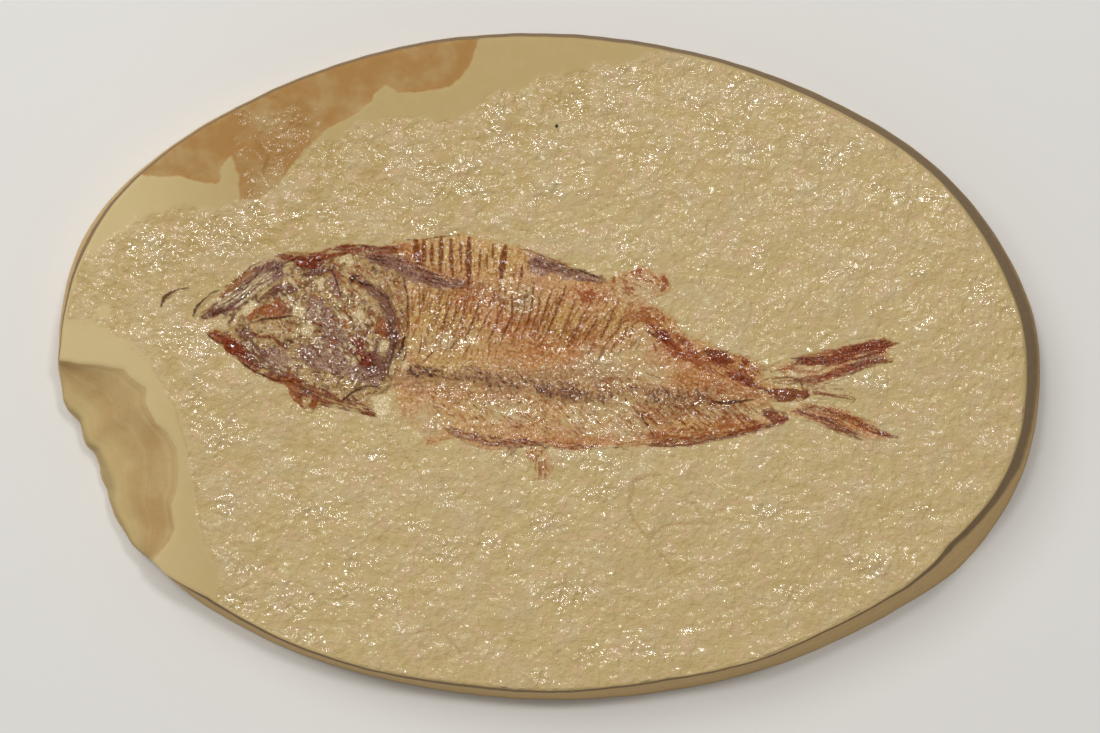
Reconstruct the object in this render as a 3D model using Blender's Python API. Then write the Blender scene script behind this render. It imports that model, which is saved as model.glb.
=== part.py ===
"""Diplomystus fossil fish: a small fish pressed flat in the face of an oval limestone slab.

The slab lies face up on its sawn underside. +X runs from the snout to the tail, +Y to the back of
the fish and +Z out of the face. Outlines are pixels of the reference photograph, 1100 by 733, which
looks straight down on the face, and SLAB_LENGTH sets their scale.
"""

import math

import bmesh
import bpy
import numpy as np

MILLIMETRE = 0.001

# Driving dimensions in metres
SLAB_LENGTH = 0.120
SLAB_THICKNESS = 0.009
FACE_SWELL = 0.00016
FACE_SWELL_LENGTH = 0.010
SHEET_DEPTH = 0.0004
GAP = 0.0003
BONE_ROOT = 0.0007
BED_DEPTH = BONE_ROOT + GAP
SHARPEST_MITRE = 0.7
CUTTER_TOP = SLAB_THICKNESS + 0.002

# The broken corner: its height at the edge, its terraces, the share of its fall that is in them, and
# how steep a riser is beside an even slope
CHIP_FOOT = 0.0034
CHIP_TERRACES = 4
TERRACE_SHARE = 0.4
RISER_STEEPNESS = 2.2

# Relief of the fossil above the face of the stone, in metres
FILM_HEIGHT = 0.00015
RIB_HEIGHT = 0.00020
BACKBONE_HEIGHT = 0.00035
PLATE_HEIGHT = 0.00030
LUMP_HEIGHT = 0.00016
RAY_HEIGHT = 0.00014

# How uneven the film is beside its height, and over how many pixels the crushed bone changes
FILM_UNEVENNESS = 0.3
LUMP_LENGTH = 6.5

# The reference photograph: the base of the slab is 992 pixels long when it is measured in the
# plane of the face, and its middle is at SLAB_MIDDLE
PHOTO_SLAB_LENGTH = 992.0
SLAB_MIDDLE = (550.0, 366.3)
PIXEL = SLAB_LENGTH / PHOTO_SLAB_LENGTH
BASE_SPREAD = 1.012

# Outside edge of the slab: where it is ground, from the lower left round to the left, and where it
# is broken, from the left down to the lower left
GROUND_EDGE = [
    (184, 591), (206, 606), (241, 626), (307, 656), (371, 675), (433, 688), (492, 696), (550, 699),
    (608, 697), (668, 690), (730, 678), (795, 658), (850, 634), (905, 604), (955, 573), (994, 527),
    (1016, 490), (1031, 451), (1038, 410), (1040, 366), (1036, 320), (1022, 283), (978, 210), (920, 153),
    (853, 112), (788, 82), (726, 61), (666, 47), (608, 38), (550, 34), (492, 35), (432, 41), (370, 55),
    (306, 76), (240, 106), (170, 147), (105, 204), (80, 242), (67, 281),
]
BROKEN_EDGE = [
    (59, 330), (59, 367), (63, 400), (68, 411), (79, 422), (83, 437), (95, 452), (101, 476), (108, 500),
    (114, 515), (131, 543), (155, 563),
]

# How far the ground edge runs outwards from the face to the base: degrees and millimetres
EDGE_RUN = [
    (0, 2.3), (10, 2.3), (25, 1.7), (45, 1.4), (60, 1.0), (90, 0.9), (120, 0.85), (150, 1.0),
    (165, 1.6), (178, 0.9), (185, 0.5), (208, 0.5), (214, 1.7), (225, 1.5), (240, 1.3), (255, 1.6),
    (270, 1.5), (290, 1.95), (305, 1.9), (315, 2.4), (328, 2.7), (336, 3.7), (344, 2.75), (352, 2.3),
]

# Crest of the broken corner, from the left rim to the lower rim
CHIP_CREST = [
    (52, 361), (95, 364), (125, 367), (132, 376), (149, 387), (148, 404), (158, 422), (169, 430),
    (179, 448), (181, 467), (180, 487), (173, 506), (176, 530), (169, 543), (156, 556), (140, 572),
]
CHIP_OUTSIDE = [(60, 600), (20, 480), (20, 361)]

# The missing sheet of stone along the upper left rim
SHEET_EDGE = [
    (110, 190), (131, 174), (161, 177), (179, 176), (200, 182), (220, 184), (221, 167), (235, 150),
    (252, 142), (266, 159), (261, 176), (279, 183), (296, 161), (309, 146), (328, 128), (354, 115),
    (372, 102), (374, 94), (385, 85), (398, 92), (421, 92), (450, 87), (460, 79), (471, 63),
    (480, 36), (480, 10), (300, 10), (110, 110),
]

# Outlines of the bones and fins
BODY = [
    (406, 243), (420, 241), (440, 237), (466, 235), (500, 242), (525, 248), (545, 257), (575, 268),
    (602, 279), (612, 286), (615, 304), (644, 311), (675, 318), (682, 330), (698, 343), (732, 355),
    (751, 362), (759, 374), (764, 385), (803, 388), (811, 395), (802, 401), (768, 402), (766, 411),
    (789, 416), (780, 424), (751, 429), (732, 433), (703, 441), (665, 447), (642, 443), (627, 448),
    (598, 450), (560, 445), (541, 441), (520, 444), (500, 450), (490, 450), (470, 446), (445, 440),
    (424, 431), (408, 425), (397, 404), (404, 372), (407, 337), (404, 312), (395, 285),
]
SKULL = [
    (290, 266), (305, 259), (323, 254), (344, 249), (367, 248), (399, 243), (390, 262), (384, 280),
    (366, 275), (350, 274), (347, 284), (366, 295), (377, 307), (383, 322), (385, 338), (384, 354),
    (381, 372), (378, 392), (370, 408), (350, 404), (328, 402), (306, 408), (299, 390), (297, 352),
    (288, 334), (266, 326), (250, 320), (254, 308), (266, 298), (280, 286),
]
UPPER_JAW = [
    (199, 318), (210, 311), (230, 298), (238, 286), (250, 272), (263, 258), (284, 259), (283, 270),
    (273, 284), (260, 293), (245, 305), (236, 319), (229, 325), (214, 321),
]
LOWER_JAW = [
    (208, 335), (222, 331), (246, 331), (268, 333), (283, 340), (290, 352), (292, 374), (280, 383),
    (257, 377), (240, 363), (222, 345),
]
SHOULDER_BONE = [
    (354, 279), (374, 283), (389, 298), (396, 318), (400, 337), (399, 356), (395, 368), (387, 366),
    (390, 337), (387, 320), (380, 304), (369, 291), (354, 286),
]
DORSAL_FIN = [
    (618, 270), (637, 268), (659, 275), (670, 279), (669, 292), (656, 298), (637, 303), (619, 298),
]
PELVIC_FIN = [
    (524, 455), (531, 448), (545, 447), (549, 460), (553, 476), (530, 478), (534, 464),
]
TAIL_FIN_UPPER = [
    (768, 366), (798, 358), (814, 357), (833, 350), (849, 346), (866, 342), (879, 339), (884, 345),
    (897, 343), (893, 352), (886, 362), (866, 363), (857, 368), (849, 375), (829, 380), (806, 383),
    (778, 380),
]
TAIL_RAY = [(817, 392), (829, 392), (852, 397), (852, 401), (829, 399), (817, 398)]
TAIL_FIN_LOWER = [
    (794, 410), (806, 405), (823, 406), (843, 412), (868, 423), (882, 432), (897, 437), (896, 441),
    (872, 438), (859, 437), (838, 431), (823, 422), (806, 419),
]
STRAY_BONE = [(160, 307), (163, 297), (175, 288), (188, 286), (188, 290), (176, 293), (166, 300)]
JAW_SLIVER = [
    (192, 313), (197, 306), (211, 295), (220, 289), (222, 292), (212, 299), (199, 309), (195, 315),
]

# The middle line of the backbone, its half width, how low it dips between two vertebrae, and the
# first and last column of the flank that has ribs
BACKBONE = [(400, 374), (480, 372), (541, 390), (612, 395), (660, 399), (717, 403), (768, 397), (812, 393)]
BACKBONE_HALF_WIDTH = 11.0
BACKBONE_CLEAR = 1.4
VERTEBRA_DIP = 0.7
RIB_ZONE = (412, 640)

# Rings of the slab's loft: shares of the way from its middle to the rim, then of the way down the
# ground edge; and bearings of its columns in degrees, closer together across the broken corner
FACE_RINGS = (0.16, 0.32, 0.46, 0.58, 0.68, 0.75, 0.80, 0.84, 0.88, 0.91, 0.94, 0.965, 0.985, 1.0)
EDGE_RINGS = (0.12, 0.5)
WIDE_COLUMNS = (-135.0, 168.0, 5.0)
CLOSE_COLUMNS = (170.0, 222.0, 2.0)


def clear_scene():
    """Remove the objects that the scene starts with."""
    for thing in list(bpy.data.objects):
        bpy.data.objects.remove(thing, do_unlink=True)


def new_collection(name):
    """Add a collection to the scene."""
    made = bpy.data.collections.new(name)
    bpy.context.scene.collection.children.link(made)
    return made


def new_material(name, colour, roughness):
    """A Principled material with a linear colour and a roughness."""
    made = bpy.data.materials.new(name)
    made.use_nodes = True
    shader = made.node_tree.nodes["Principled BSDF"]
    shader.inputs["Base Color"].default_value = (*colour, 1.0)
    shader.inputs["Roughness"].default_value = roughness
    shader.inputs["Metallic"].default_value = 0.0
    made.diffuse_color = (*colour, 1.0)
    return made


def place(pixel):
    """The point of the face, in metres, that a pixel shows."""
    return ((pixel[0] - SLAB_MIDDLE[0]) * PIXEL, (SLAB_MIDDLE[1] - pixel[1]) * PIXEL)


def places(pixels):
    """The points of the face that a list of pixels shows."""
    return np.array([place(pixel) for pixel in pixels])


def polar_reach(points, angles):
    """Distance from the middle to a closed outline, read at the given angles."""
    bearing = np.degrees(np.arctan2(points[:, 1], points[:, 0])) % 360.0
    order = np.argsort(bearing)
    reach = np.hypot(points[:, 0], points[:, 1])[order]
    return np.interp(angles % 360.0, bearing[order], reach, period=360.0)


def distance_to(line, point):
    """Shortest distance from a point to an open line."""
    start, end = line[:-1], line[1:]
    along = end - start
    share = np.clip(((point - start) * along).sum(1) / (along ** 2).sum(1), 0.0, 1.0)
    return np.hypot(*(start + along * share[:, None] - point).T).min()


def inside(outline, point):
    """Whether a point lies inside a closed outline."""
    x, y = point
    x0, y0 = outline.T
    x1, y1 = np.roll(outline, -1, axis=0).T
    level = (y0 > y) != (y1 > y)
    crossing = x0[level] + (y - y0[level]) * (x1 - x0)[level] / (y1 - y0)[level]
    return np.count_nonzero(crossing > x) % 2 == 1


def lumps(x, y, length):
    """An uneven value from -1 to 1 that changes over about the given length, in the units of x and y."""
    x, y = x / length, y / length
    return 0.5 * (math.sin(1.1 * x + 1.7) * math.sin(1.3 * y + 0.4) + math.sin(2.3 * x - 1.9 * y))


def face_height(x, y):
    """Height of the gently uneven face."""
    return SLAB_THICKNESS + FACE_SWELL * lumps(x, y, FACE_SWELL_LENGTH)


def chip_drop(point):
    """How far the broken corner lies below the face: a slope in terraces down to the edge."""
    crest = places(CHIP_CREST)
    if not inside(np.vstack([crest, places(CHIP_OUTSIDE)]), point):
        return 0.0
    to_crest = distance_to(crest, point)
    to_edge = distance_to(places(BROKEN_EDGE) * BASE_SPREAD, point)
    share = to_crest / (to_crest + to_edge)
    count = math.floor(share * CHIP_TERRACES)
    riser = min(1.0, RISER_STEEPNESS * (share * CHIP_TERRACES - count))
    terrace = (count + riser) / CHIP_TERRACES
    fall = (1.0 - TERRACE_SHARE) * share + TERRACE_SHARE * terrace
    return (SLAB_THICKNESS - CHIP_FOOT) * fall


def mesh_object(name, build, group, material):
    """An object made of a bmesh, in a collection, with a material."""
    bmesh.ops.recalc_face_normals(build, faces=build.faces)
    mesh = bpy.data.meshes.new(name)
    build.to_mesh(mesh)
    build.free()
    made = bpy.data.objects.new(name, mesh)
    group.objects.link(made)
    if material:
        mesh.materials.append(material)
    return made


def prism(name, outline, bottom, top, group):
    """A flat outline extruded between two heights, as a mesh."""
    curve = bpy.data.curves.new(name, "CURVE")
    curve.dimensions = "2D"
    curve.fill_mode = "BOTH"
    curve.extrude = (top - bottom) / 2
    spline = curve.splines.new("POLY")
    spline.points.add(len(outline) - 1)
    for point, (x, y) in zip(spline.points, outline):
        point.co = (x, y, 0.0, 1.0)
    spline.use_cyclic_u = True
    shape = bpy.data.objects.new(name + "_outline", curve)
    group.objects.link(shape)
    shape.location.z = (bottom + top) / 2
    bpy.context.view_layer.update()
    mesh = bpy.data.meshes.new_from_object(shape.evaluated_get(bpy.context.evaluated_depsgraph_get()))
    made = bpy.data.objects.new(name, mesh)
    made.matrix_world = shape.matrix_world
    group.objects.link(made)
    bpy.data.objects.remove(shape, do_unlink=True)
    build = bmesh.new()
    build.from_mesh(mesh)
    bmesh.ops.remove_doubles(build, verts=build.verts, dist=1e-6)
    bmesh.ops.recalc_face_normals(build, faces=build.faces)
    build.to_mesh(mesh)
    build.free()
    made.hide_render = True
    made.display_type = "WIRE"
    return made


def widened(outline, margin):
    """A closed outline moved outwards by a margin, along the mean of its sides' normals."""
    side = np.roll(outline, -1, axis=0) - outline
    turn = (outline[:, 0] * np.roll(outline[:, 1], -1) - outline[:, 1] * np.roll(outline[:, 0], -1)).sum()
    normal = np.stack([side[:, 1], -side[:, 0]], axis=1) * math.copysign(1.0, turn)
    normal /= np.hypot(*normal.T)[:, None]
    before = np.roll(normal, 1, axis=0)
    mitre = normal + before
    mitre /= np.maximum((mitre * normal).sum(1), SHARPEST_MITRE)[:, None]
    return outline + mitre * margin


def boolean(target, cutter, operation):
    """Apply a Boolean of one object to another as a modifier."""
    step = target.modifiers.new(cutter.name, "BOOLEAN")
    step.operation = operation
    step.solver = "EXACT"
    step.object = cutter


def make_slab(group, material):
    """The oval slab: a loft from its sawn base up the ground edge and over the uneven face."""
    angles = np.concatenate([np.arange(*WIDE_COLUMNS), np.arange(*CLOSE_COLUMNS)])
    base = polar_reach(places(GROUND_EDGE + BROKEN_EDGE) * BASE_SPREAD, angles)
    run = np.interp(angles % 360.0, *np.array(EDGE_RUN).T, period=360.0) * MILLIMETRE
    rim = base - run

    build = bmesh.new()
    rings = []

    def add_ring(reaches, height):
        ring = []
        for angle, reach in zip(angles, reaches):
            x, y = reach * math.cos(math.radians(angle)), reach * math.sin(math.radians(angle))
            ring.append(build.verts.new((x, y, height(x, y))))
        rings.append(ring)

    def top(x, y):
        return face_height(x, y) - chip_drop(np.array((x, y)))

    for share in FACE_RINGS:
        add_ring(rim * share, top)
    for share in EDGE_RINGS:
        add_ring(rim + run * share, lambda x, y, share=share: top(x, y) * (1.0 - share))
    add_ring(base, lambda x, y: 0.0)

    for inner, outer in zip(rings, rings[1:]):
        for i in range(len(angles)):
            j = (i + 1) % len(angles)
            build.faces.new((inner[i], outer[i], outer[j], inner[j]))
    middle = build.verts.new((0.0, 0.0, top(0.0, 0.0)))
    for i in range(len(angles)):
        build.faces.new((rings[0][i], rings[0][(i + 1) % len(angles)], middle))
    build.faces.new(rings[-1])
    return mesh_object("slab", build, group, material)


def relief(name, outline, height, material, group, cutters, step, tilt, slant):
    """A bone: its outline cut from a block whose top is a grid that carries the relief.

    step is the grid's spacing in pixels along and across, tilt turns the grid by degrees, and slant
    leans its cross lines. height(x, y, column, row) is the relief above the face, at a pixel.
    """
    points = places(outline)
    middle = points.mean(0)
    cos, sin = math.cos(math.radians(tilt)), math.sin(math.radians(tilt))
    turned = (points - middle) @ np.array([[cos, -sin], [sin, cos]])
    turned[:, 0] -= slant * turned[:, 1]
    counts = np.ceil(np.abs(turned).max(0) / (np.array(step) * PIXEL)).astype(int) + 1

    build = bmesh.new()
    bmesh.ops.create_grid(build, x_segments=2 * counts[0], y_segments=2 * counts[1], size=1.0)
    for vertex in build.verts:
        column, row = round(vertex.co.x * counts[0]), round(vertex.co.y * counts[1])
        across = row * step[1] * PIXEL
        along = column * step[0] * PIXEL + slant * across
        x = middle[0] + along * cos - across * sin
        y = middle[1] + along * sin + across * cos
        pixel = (SLAB_MIDDLE[0] + x / PIXEL, SLAB_MIDDLE[1] - y / PIXEL)
        vertex.co = (x, y, face_height(x, y) + height(*pixel, column, row))
    floor = bmesh.ops.extrude_face_region(build, geom=build.faces[:])
    for element in floor["geom"]:
        if isinstance(element, bmesh.types.BMVert):
            element.co.z = SLAB_THICKNESS - BONE_ROOT
    block = mesh_object(name, build, group, material)
    cutter = prism(name + "_shape", points, SLAB_THICKNESS - BONE_ROOT - GAP, CUTTER_TOP, cutters)
    boolean(block, cutter, "INTERSECT")


def body_height(x, y, column, row):
    """The flank: a film with slanted ribs, and the backbone with its vertebrae along it."""
    line = np.array(BACKBONE, float)
    spine = np.interp(x, line[:, 0], line[:, 1])
    depth = abs(y - spine) / BACKBONE_HALF_WIDTH
    height = FILM_HEIGHT * (1.0 + FILM_UNEVENNESS * lumps(x, y, LUMP_LENGTH))
    if depth < BACKBONE_CLEAR:
        height += BACKBONE_HEIGHT * max(0.0, 1.0 - depth ** 2) * (1.0 if column % 2 else VERTEBRA_DIP)
    elif RIB_ZONE[0] < x < RIB_ZONE[1] and column % 2:
        height += RIB_HEIGHT
    return height


def plate_height(x, y, column, row):
    """Crushed plates: a raised surface with lumps and hollows."""
    return PLATE_HEIGHT + LUMP_HEIGHT * lumps(x, y, LUMP_LENGTH)


def ridged(base):
    """A relief whose every other row is a ridge along the piece."""
    def height(x, y, column, row):
        return base + (RAY_HEIGHT if row % 2 else 0.0)
    return height


def make_fish(group, cutters):
    """Every bone and fin of the fish, and the bed that each leaves in the stone."""
    film = new_material("pressed_film", (0.46, 0.26, 0.11), 0.5)
    bone = new_material("dark_bone", (0.22, 0.11, 0.08), 0.4)
    plum = new_material("plum_bone", (0.17, 0.10, 0.10), 0.35)
    fin = new_material("fin_brown", (0.40, 0.19, 0.07), 0.5)
    tail = new_material("tail_brown", (0.24, 0.10, 0.05), 0.45)

    strong, weak = ridged(PLATE_HEIGHT), ridged(FILM_HEIGHT)
    pieces = [
        ("body", BODY, body_height, film, (7.5, 7.5), 0.0, 0.42),
        ("skull", SKULL, plate_height, bone, (11.0, 11.0), 0.0, 0.0),
        ("upper_jaw", UPPER_JAW, strong, plum, (14.0, 3.6), 38.0, 0.0),
        ("lower_jaw", LOWER_JAW, strong, bone, (14.0, 6.0), -22.0, 0.0),
        ("shoulder_bone", SHOULDER_BONE, plate_height, plum, (10.0, 10.0), 0.0, 0.0),
        ("dorsal_fin", DORSAL_FIN, weak, fin, (16.0, 5.0), -12.0, 0.0),
        ("pelvic_fin", PELVIC_FIN, weak, fin, (10.0, 5.0), -70.0, 0.0),
        ("tail_fin_upper", TAIL_FIN_UPPER, weak, tail, (16.0, 5.0), 11.0, 0.0),
        ("tail_ray", TAIL_RAY, weak, tail, (16.0, 6.0), -10.0, 0.0),
        ("tail_fin_lower", TAIL_FIN_LOWER, weak, tail, (16.0, 5.0), -18.0, 0.0),
        ("stray_bone", STRAY_BONE, plate_height, plum, (12.0, 12.0), 35.0, 0.0),
        ("jaw_sliver", JAW_SLIVER, plate_height, plum, (12.0, 12.0), 40.0, 0.0),
    ]
    beds = []
    for name, outline, height, material, step, tilt, slant in pieces:
        relief(name, outline, height, material, group, cutters, step, tilt, slant)
        bed = widened(places(outline), GAP)
        beds.append(prism(name + "_bed", bed, SLAB_THICKNESS - BED_DEPTH, CUTTER_TOP, cutters))
    return beds


def main():
    """Build the slab and the fish, and cut the fish's bed and the missing sheet from the slab."""
    clear_scene()
    group = new_collection("diplomystus_fossil")
    cutters = new_collection("cutters")
    stone = new_material("limestone", (0.50, 0.38, 0.19), 0.55)
    slab = make_slab(group, stone)
    sheet = prism("sheet_cutter", places(SHEET_EDGE), SLAB_THICKNESS - SHEET_DEPTH, CUTTER_TOP, cutters)
    boolean(slab, sheet, "DIFFERENCE")
    for bed in make_fish(group, cutters):
        boolean(slab, bed, "DIFFERENCE")


main()
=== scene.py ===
"""The look of a small Diplomystus fossil, pressed flat in the face of an oval limestone slab.

Places on the face are pixels of the reference photograph, which looks straight down on it. Heights are
metres above the underside. The face, the fossil and their colours are all worked out from the same
named curves, so that the pieces meet without a seam.
"""
import math

import bmesh
import bpy
import numpy as np
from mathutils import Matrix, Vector


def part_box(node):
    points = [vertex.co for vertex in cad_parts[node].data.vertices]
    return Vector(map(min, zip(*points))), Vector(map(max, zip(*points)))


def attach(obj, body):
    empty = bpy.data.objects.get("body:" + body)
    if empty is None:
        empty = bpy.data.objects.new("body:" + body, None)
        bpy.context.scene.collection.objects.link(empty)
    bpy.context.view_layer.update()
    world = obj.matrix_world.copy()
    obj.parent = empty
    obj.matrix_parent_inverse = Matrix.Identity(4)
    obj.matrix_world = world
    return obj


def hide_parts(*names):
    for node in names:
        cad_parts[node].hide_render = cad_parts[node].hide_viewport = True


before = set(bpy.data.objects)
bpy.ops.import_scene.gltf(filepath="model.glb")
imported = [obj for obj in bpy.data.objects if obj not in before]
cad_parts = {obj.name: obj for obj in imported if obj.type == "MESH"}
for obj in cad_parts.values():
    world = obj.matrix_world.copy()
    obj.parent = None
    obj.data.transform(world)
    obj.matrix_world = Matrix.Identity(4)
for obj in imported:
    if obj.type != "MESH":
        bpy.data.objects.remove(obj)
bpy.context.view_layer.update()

# Scale: the photograph, and how many of its pixels go into the slab's length in the plane of the face
MM = 0.001
PHOTO_WIDTH, PHOTO_HEIGHT = 1100.0, 733.0
SLAB_PIXELS = 993.1
SLAB_LOW, SLAB_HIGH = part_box("slab")
PIXEL = (SLAB_HIGH[0] - SLAB_LOW[0]) / SLAB_PIXELS
MIDDLE = np.array([550.0, 366.3])
FACE = 0.009
CAMERA_HEIGHT = 0.75

# The base lies farther from the camera than the face, so it is that much larger than it looks
BASE_SPREAD = (CAMERA_HEIGHT + FACE) / CAMERA_HEIGHT

# Outline of the slab's base, and the run of its ground edge in degrees and millimetres
GROUND_EDGE = [
    (184, 591), (206, 606), (241, 626), (307, 656), (371, 675), (433, 688), (492, 696), (550, 699),
    (608, 697), (668, 690), (730, 678), (795, 658), (850, 634), (905, 604), (955, 573), (994, 527),
    (1016, 490), (1031, 451), (1038, 410), (1040, 366), (1036, 320), (1022, 283), (978, 210), (920, 153),
    (853, 112), (788, 82), (726, 61), (666, 47), (608, 38), (550, 34), (492, 35), (432, 41), (370, 55),
    (306, 76), (240, 106), (170, 147), (105, 204), (80, 242), (67, 281),
]
BROKEN_EDGE = [
    (59, 330), (59, 367), (63, 400), (68, 411), (79, 422), (83, 437), (87, 446), (95, 452), (100, 467),
    (101, 476), (107, 489), (108, 500), (114, 515), (121, 526), (131, 543), (144, 554), (155, 563),
]
EDGE_RUN = [
    (0, 2.3), (10, 2.3), (25, 1.7), (45, 1.4), (60, 1.0), (90, 0.9), (120, 0.85), (150, 1.0),
    (165, 1.6), (178, 0.9), (185, 0.5), (208, 0.5), (214, 1.7), (225, 1.5), (240, 1.3), (255, 1.6),
    (270, 1.5), (290, 1.95), (305, 1.9), (315, 2.4), (328, 2.7), (336, 3.7), (344, 2.75), (352, 2.3),
]

# How soon the painted shade at the top of the wall, a dark brown band under the rim, turns golden, by degrees
# round the slab
WALL_SHADE_SEAM = [
    (0, 0.45), (25, 0.40), (60, 0.40), (90, 0.35), (135, 0.50), (180, 1.0), (225, 1.3), (270, 1.7),
    (295, 2.6), (325, 3.0), (338, 1.4), (348, 0.6),
]

# The broken corner: its crest, what lies outside it and the faint ledge inside it
CHIP_CREST = [
    (52, 361), (95, 364), (125, 367), (132, 376), (149, 387), (148, 404), (158, 422), (169, 430),
    (179, 448), (181, 467), (180, 487), (173, 506), (176, 530), (169, 543), (156, 556), (140, 572),
]
CHIP_OUTSIDE = [(60, 600), (20, 480), (20, 361)]
LEDGE_LINE = [
    (40, 318), (108, 324), (130, 348), (150, 364), (162, 385), (173, 404), (179, 426), (186, 448),
    (193, 467), (195, 491), (199, 524), (205, 546), (212, 575), (214, 600), (150, 640), (0, 560), (0, 318),
]

# How the broken corner falls: the height of its foot, its terraces, how much they show, how its slope
# wavers, the share of the fall above the brink, where the brink starts, and the drop at the crest
CHIP_FOOT = 3.4 * MM
CHIP_TERRACES = 7
CHIP_STEPPED = 0.08
CHIP_WAVER = 0.16
CHIP_FLOOR = 0.62
CHIP_BRINK = 0.86
CHIP_LIP = 0.18 * MM
LEDGE_DEPTH = 0.05 * MM

# The missing sheet of stone along the upper left rim, and the rough varnished patch across it
SHEET = [
    (110, 190), (131, 174), (161, 177), (179, 176), (200, 182), (220, 184), (221, 167), (235, 150),
    (252, 142), (266, 159), (261, 176), (279, 183), (296, 161), (309, 146), (328, 128), (354, 115),
    (372, 102), (374, 94), (385, 85), (398, 92), (421, 92), (450, 87), (460, 79), (471, 63),
    (480, 36), (480, 10), (300, 10), (110, 110),
]
SHEET_DEPTH = 0.35 * MM
ROUGH_PATCH = [
    (232, 130), (262, 112), (300, 100), (326, 108), (316, 138), (296, 158), (280, 184), (258, 200),
    (240, 200), (238, 176), (230, 150),
]

# Smooth zones that the varnish leaves bare
BARE = [
    [(90, 255), (112, 240), (122, 222), (140, 214), (160, 211), (215, 213), (238, 204), (250, 180),
     (262, 130), (200, 90), (60, 200)],
    [(318, 142), (345, 128), (372, 124), (400, 116), (440, 122), (470, 108), (505, 88), (545, 76),
     (590, 66), (640, 60), (660, 46), (640, 10), (480, 10), (300, 30), (236, 100), (262, 118), (300, 96)],
    [(1000, 260), (1020, 262), (1040, 330), (1034, 400), (1024, 400), (1026, 330)],
]

# Marks in the stone beside the fish
IMPRINT = [
    (1.6, [(668, 474), (647, 477), (634, 481), (632, 496), (629, 507), (634, 521), (648, 540)]),
    (1.4, [(648, 540), (664, 526), (681, 524), (706, 524)]),
    (1.3, [(706, 524), (697, 510), (692, 503), (676, 496)]),
    (1.3, [(650, 544), (667, 561), (675, 575), (683, 582)]),
]
CRACKS = [
    (0.8, [(223, 380), (239, 385), (255, 398), (266, 398), (280, 405), (294, 407)]),
    (0.9, [(388, 405), (394, 410), (388, 422), (387, 433), (401, 447), (411, 464), (421, 475), (422, 489),
           (428, 499)]),
    (0.9, [(416, 633), (431, 629), (445, 635), (457, 648), (461, 656)]),
    (0.9, [(266, 96), (276, 99), (285, 107)]),
    (0.8, [(176, 394), (186, 386), (194, 380), (214, 380)]),
    (0.6, [(128, 346), (150, 363), (163, 385), (174, 404), (180, 426), (187, 448), (194, 467), (196, 491),
           (200, 524), (205, 546)]),
]
SPECKS = [
    (2.0, [(556, 125), (557, 127)]), (1.8, [(558, 130), (558, 131)]), (1.1, [(546, 126), (546, 127)]),
    (1.0, [(928, 613), (931, 616)]), (0.8, [(503, 169), (505, 170)]), (0.7, [(437, 137), (438, 138)]),
    (0.9, [(125, 227), (126, 228)]), (0.9, [(840, 572), (841, 573)]), (1.2, [(252, 626), (254, 628)]),
    (0.8, [(890, 603), (891, 604)]),
]

# The fossil by kinds of mark: areas are closed outlines, and lines are half widths with their points
BODY = [
    (392, 244), (411, 240), (426, 239), (440, 236), (466, 235), (500, 242), (525, 248), (545, 256),
    (575, 267), (602, 278), (612, 284), (620, 302), (644, 308), (661, 311), (674, 318), (682, 331),
    (692, 339), (708, 343), (730, 353), (751, 358), (761, 364), (766, 376), (776, 387), (790, 386),
    (806, 387), (811, 395), (803, 401), (783, 403), (770, 402), (774, 409), (789, 414), (788, 420),
    (769, 426), (743, 434), (712, 440), (682, 447), (661, 448), (641, 446), (627, 448), (598, 450),
    (560, 449), (541, 446), (520, 448), (500, 451), (490, 451), (470, 446), (455, 438), (445, 441),
    (426, 445), (420, 434), (408, 425), (396, 404), (392, 384), (396, 366), (402, 337), (400, 312),
    (392, 288), (376, 266), (380, 252),
]
TUFT = [
    (604, 290), (606, 277), (614, 271), (624, 273), (636, 265), (648, 267), (655, 276), (666, 274),
    (671, 288), (664, 296), (650, 302), (660, 310), (676, 318), (680, 334), (650, 320), (620, 306),
]
BELLY_FIN = [(520, 450), (545, 445), (550, 460), (555, 478), (532, 480), (534, 464)]
BREAST_FIN = [(418, 432), (436, 428), (447, 434), (440, 443), (426, 446)]
TAIL_UPPER = [
    (776, 366), (800, 360), (838, 351), (864, 341), (884, 336), (890, 342), (900, 343), (890, 352),
    (892, 360), (868, 366), (850, 375), (828, 382), (806, 383), (784, 380),
]
TAIL_LOWER = [
    (788, 410), (806, 404), (826, 404), (848, 410), (872, 424), (897, 437), (886, 441), (862, 438),
    (838, 431), (812, 421), (794, 417),
]
FILM_AREAS = [BODY, TUFT, BELLY_FIN, BREAST_FIN, TAIL_UPPER, TAIL_LOWER]
HEAD = [
    (290, 262), (282, 252), (305, 254), (323, 251), (344, 246), (367, 245), (396, 246), (404, 268),
    (409, 300), (410, 330), (406, 356), (398, 376), (388, 392), (372, 400), (376, 417), (360, 413),
    (336, 406), (322, 404), (312, 411), (306, 411), (300, 405), (294, 392), (284, 384), (268, 378),
    (254, 372), (241, 364), (229, 351), (207, 335), (214, 330), (226, 331), (234, 326), (244, 312),
    (256, 302), (264, 296), (274, 286), (284, 276),
]
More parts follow.
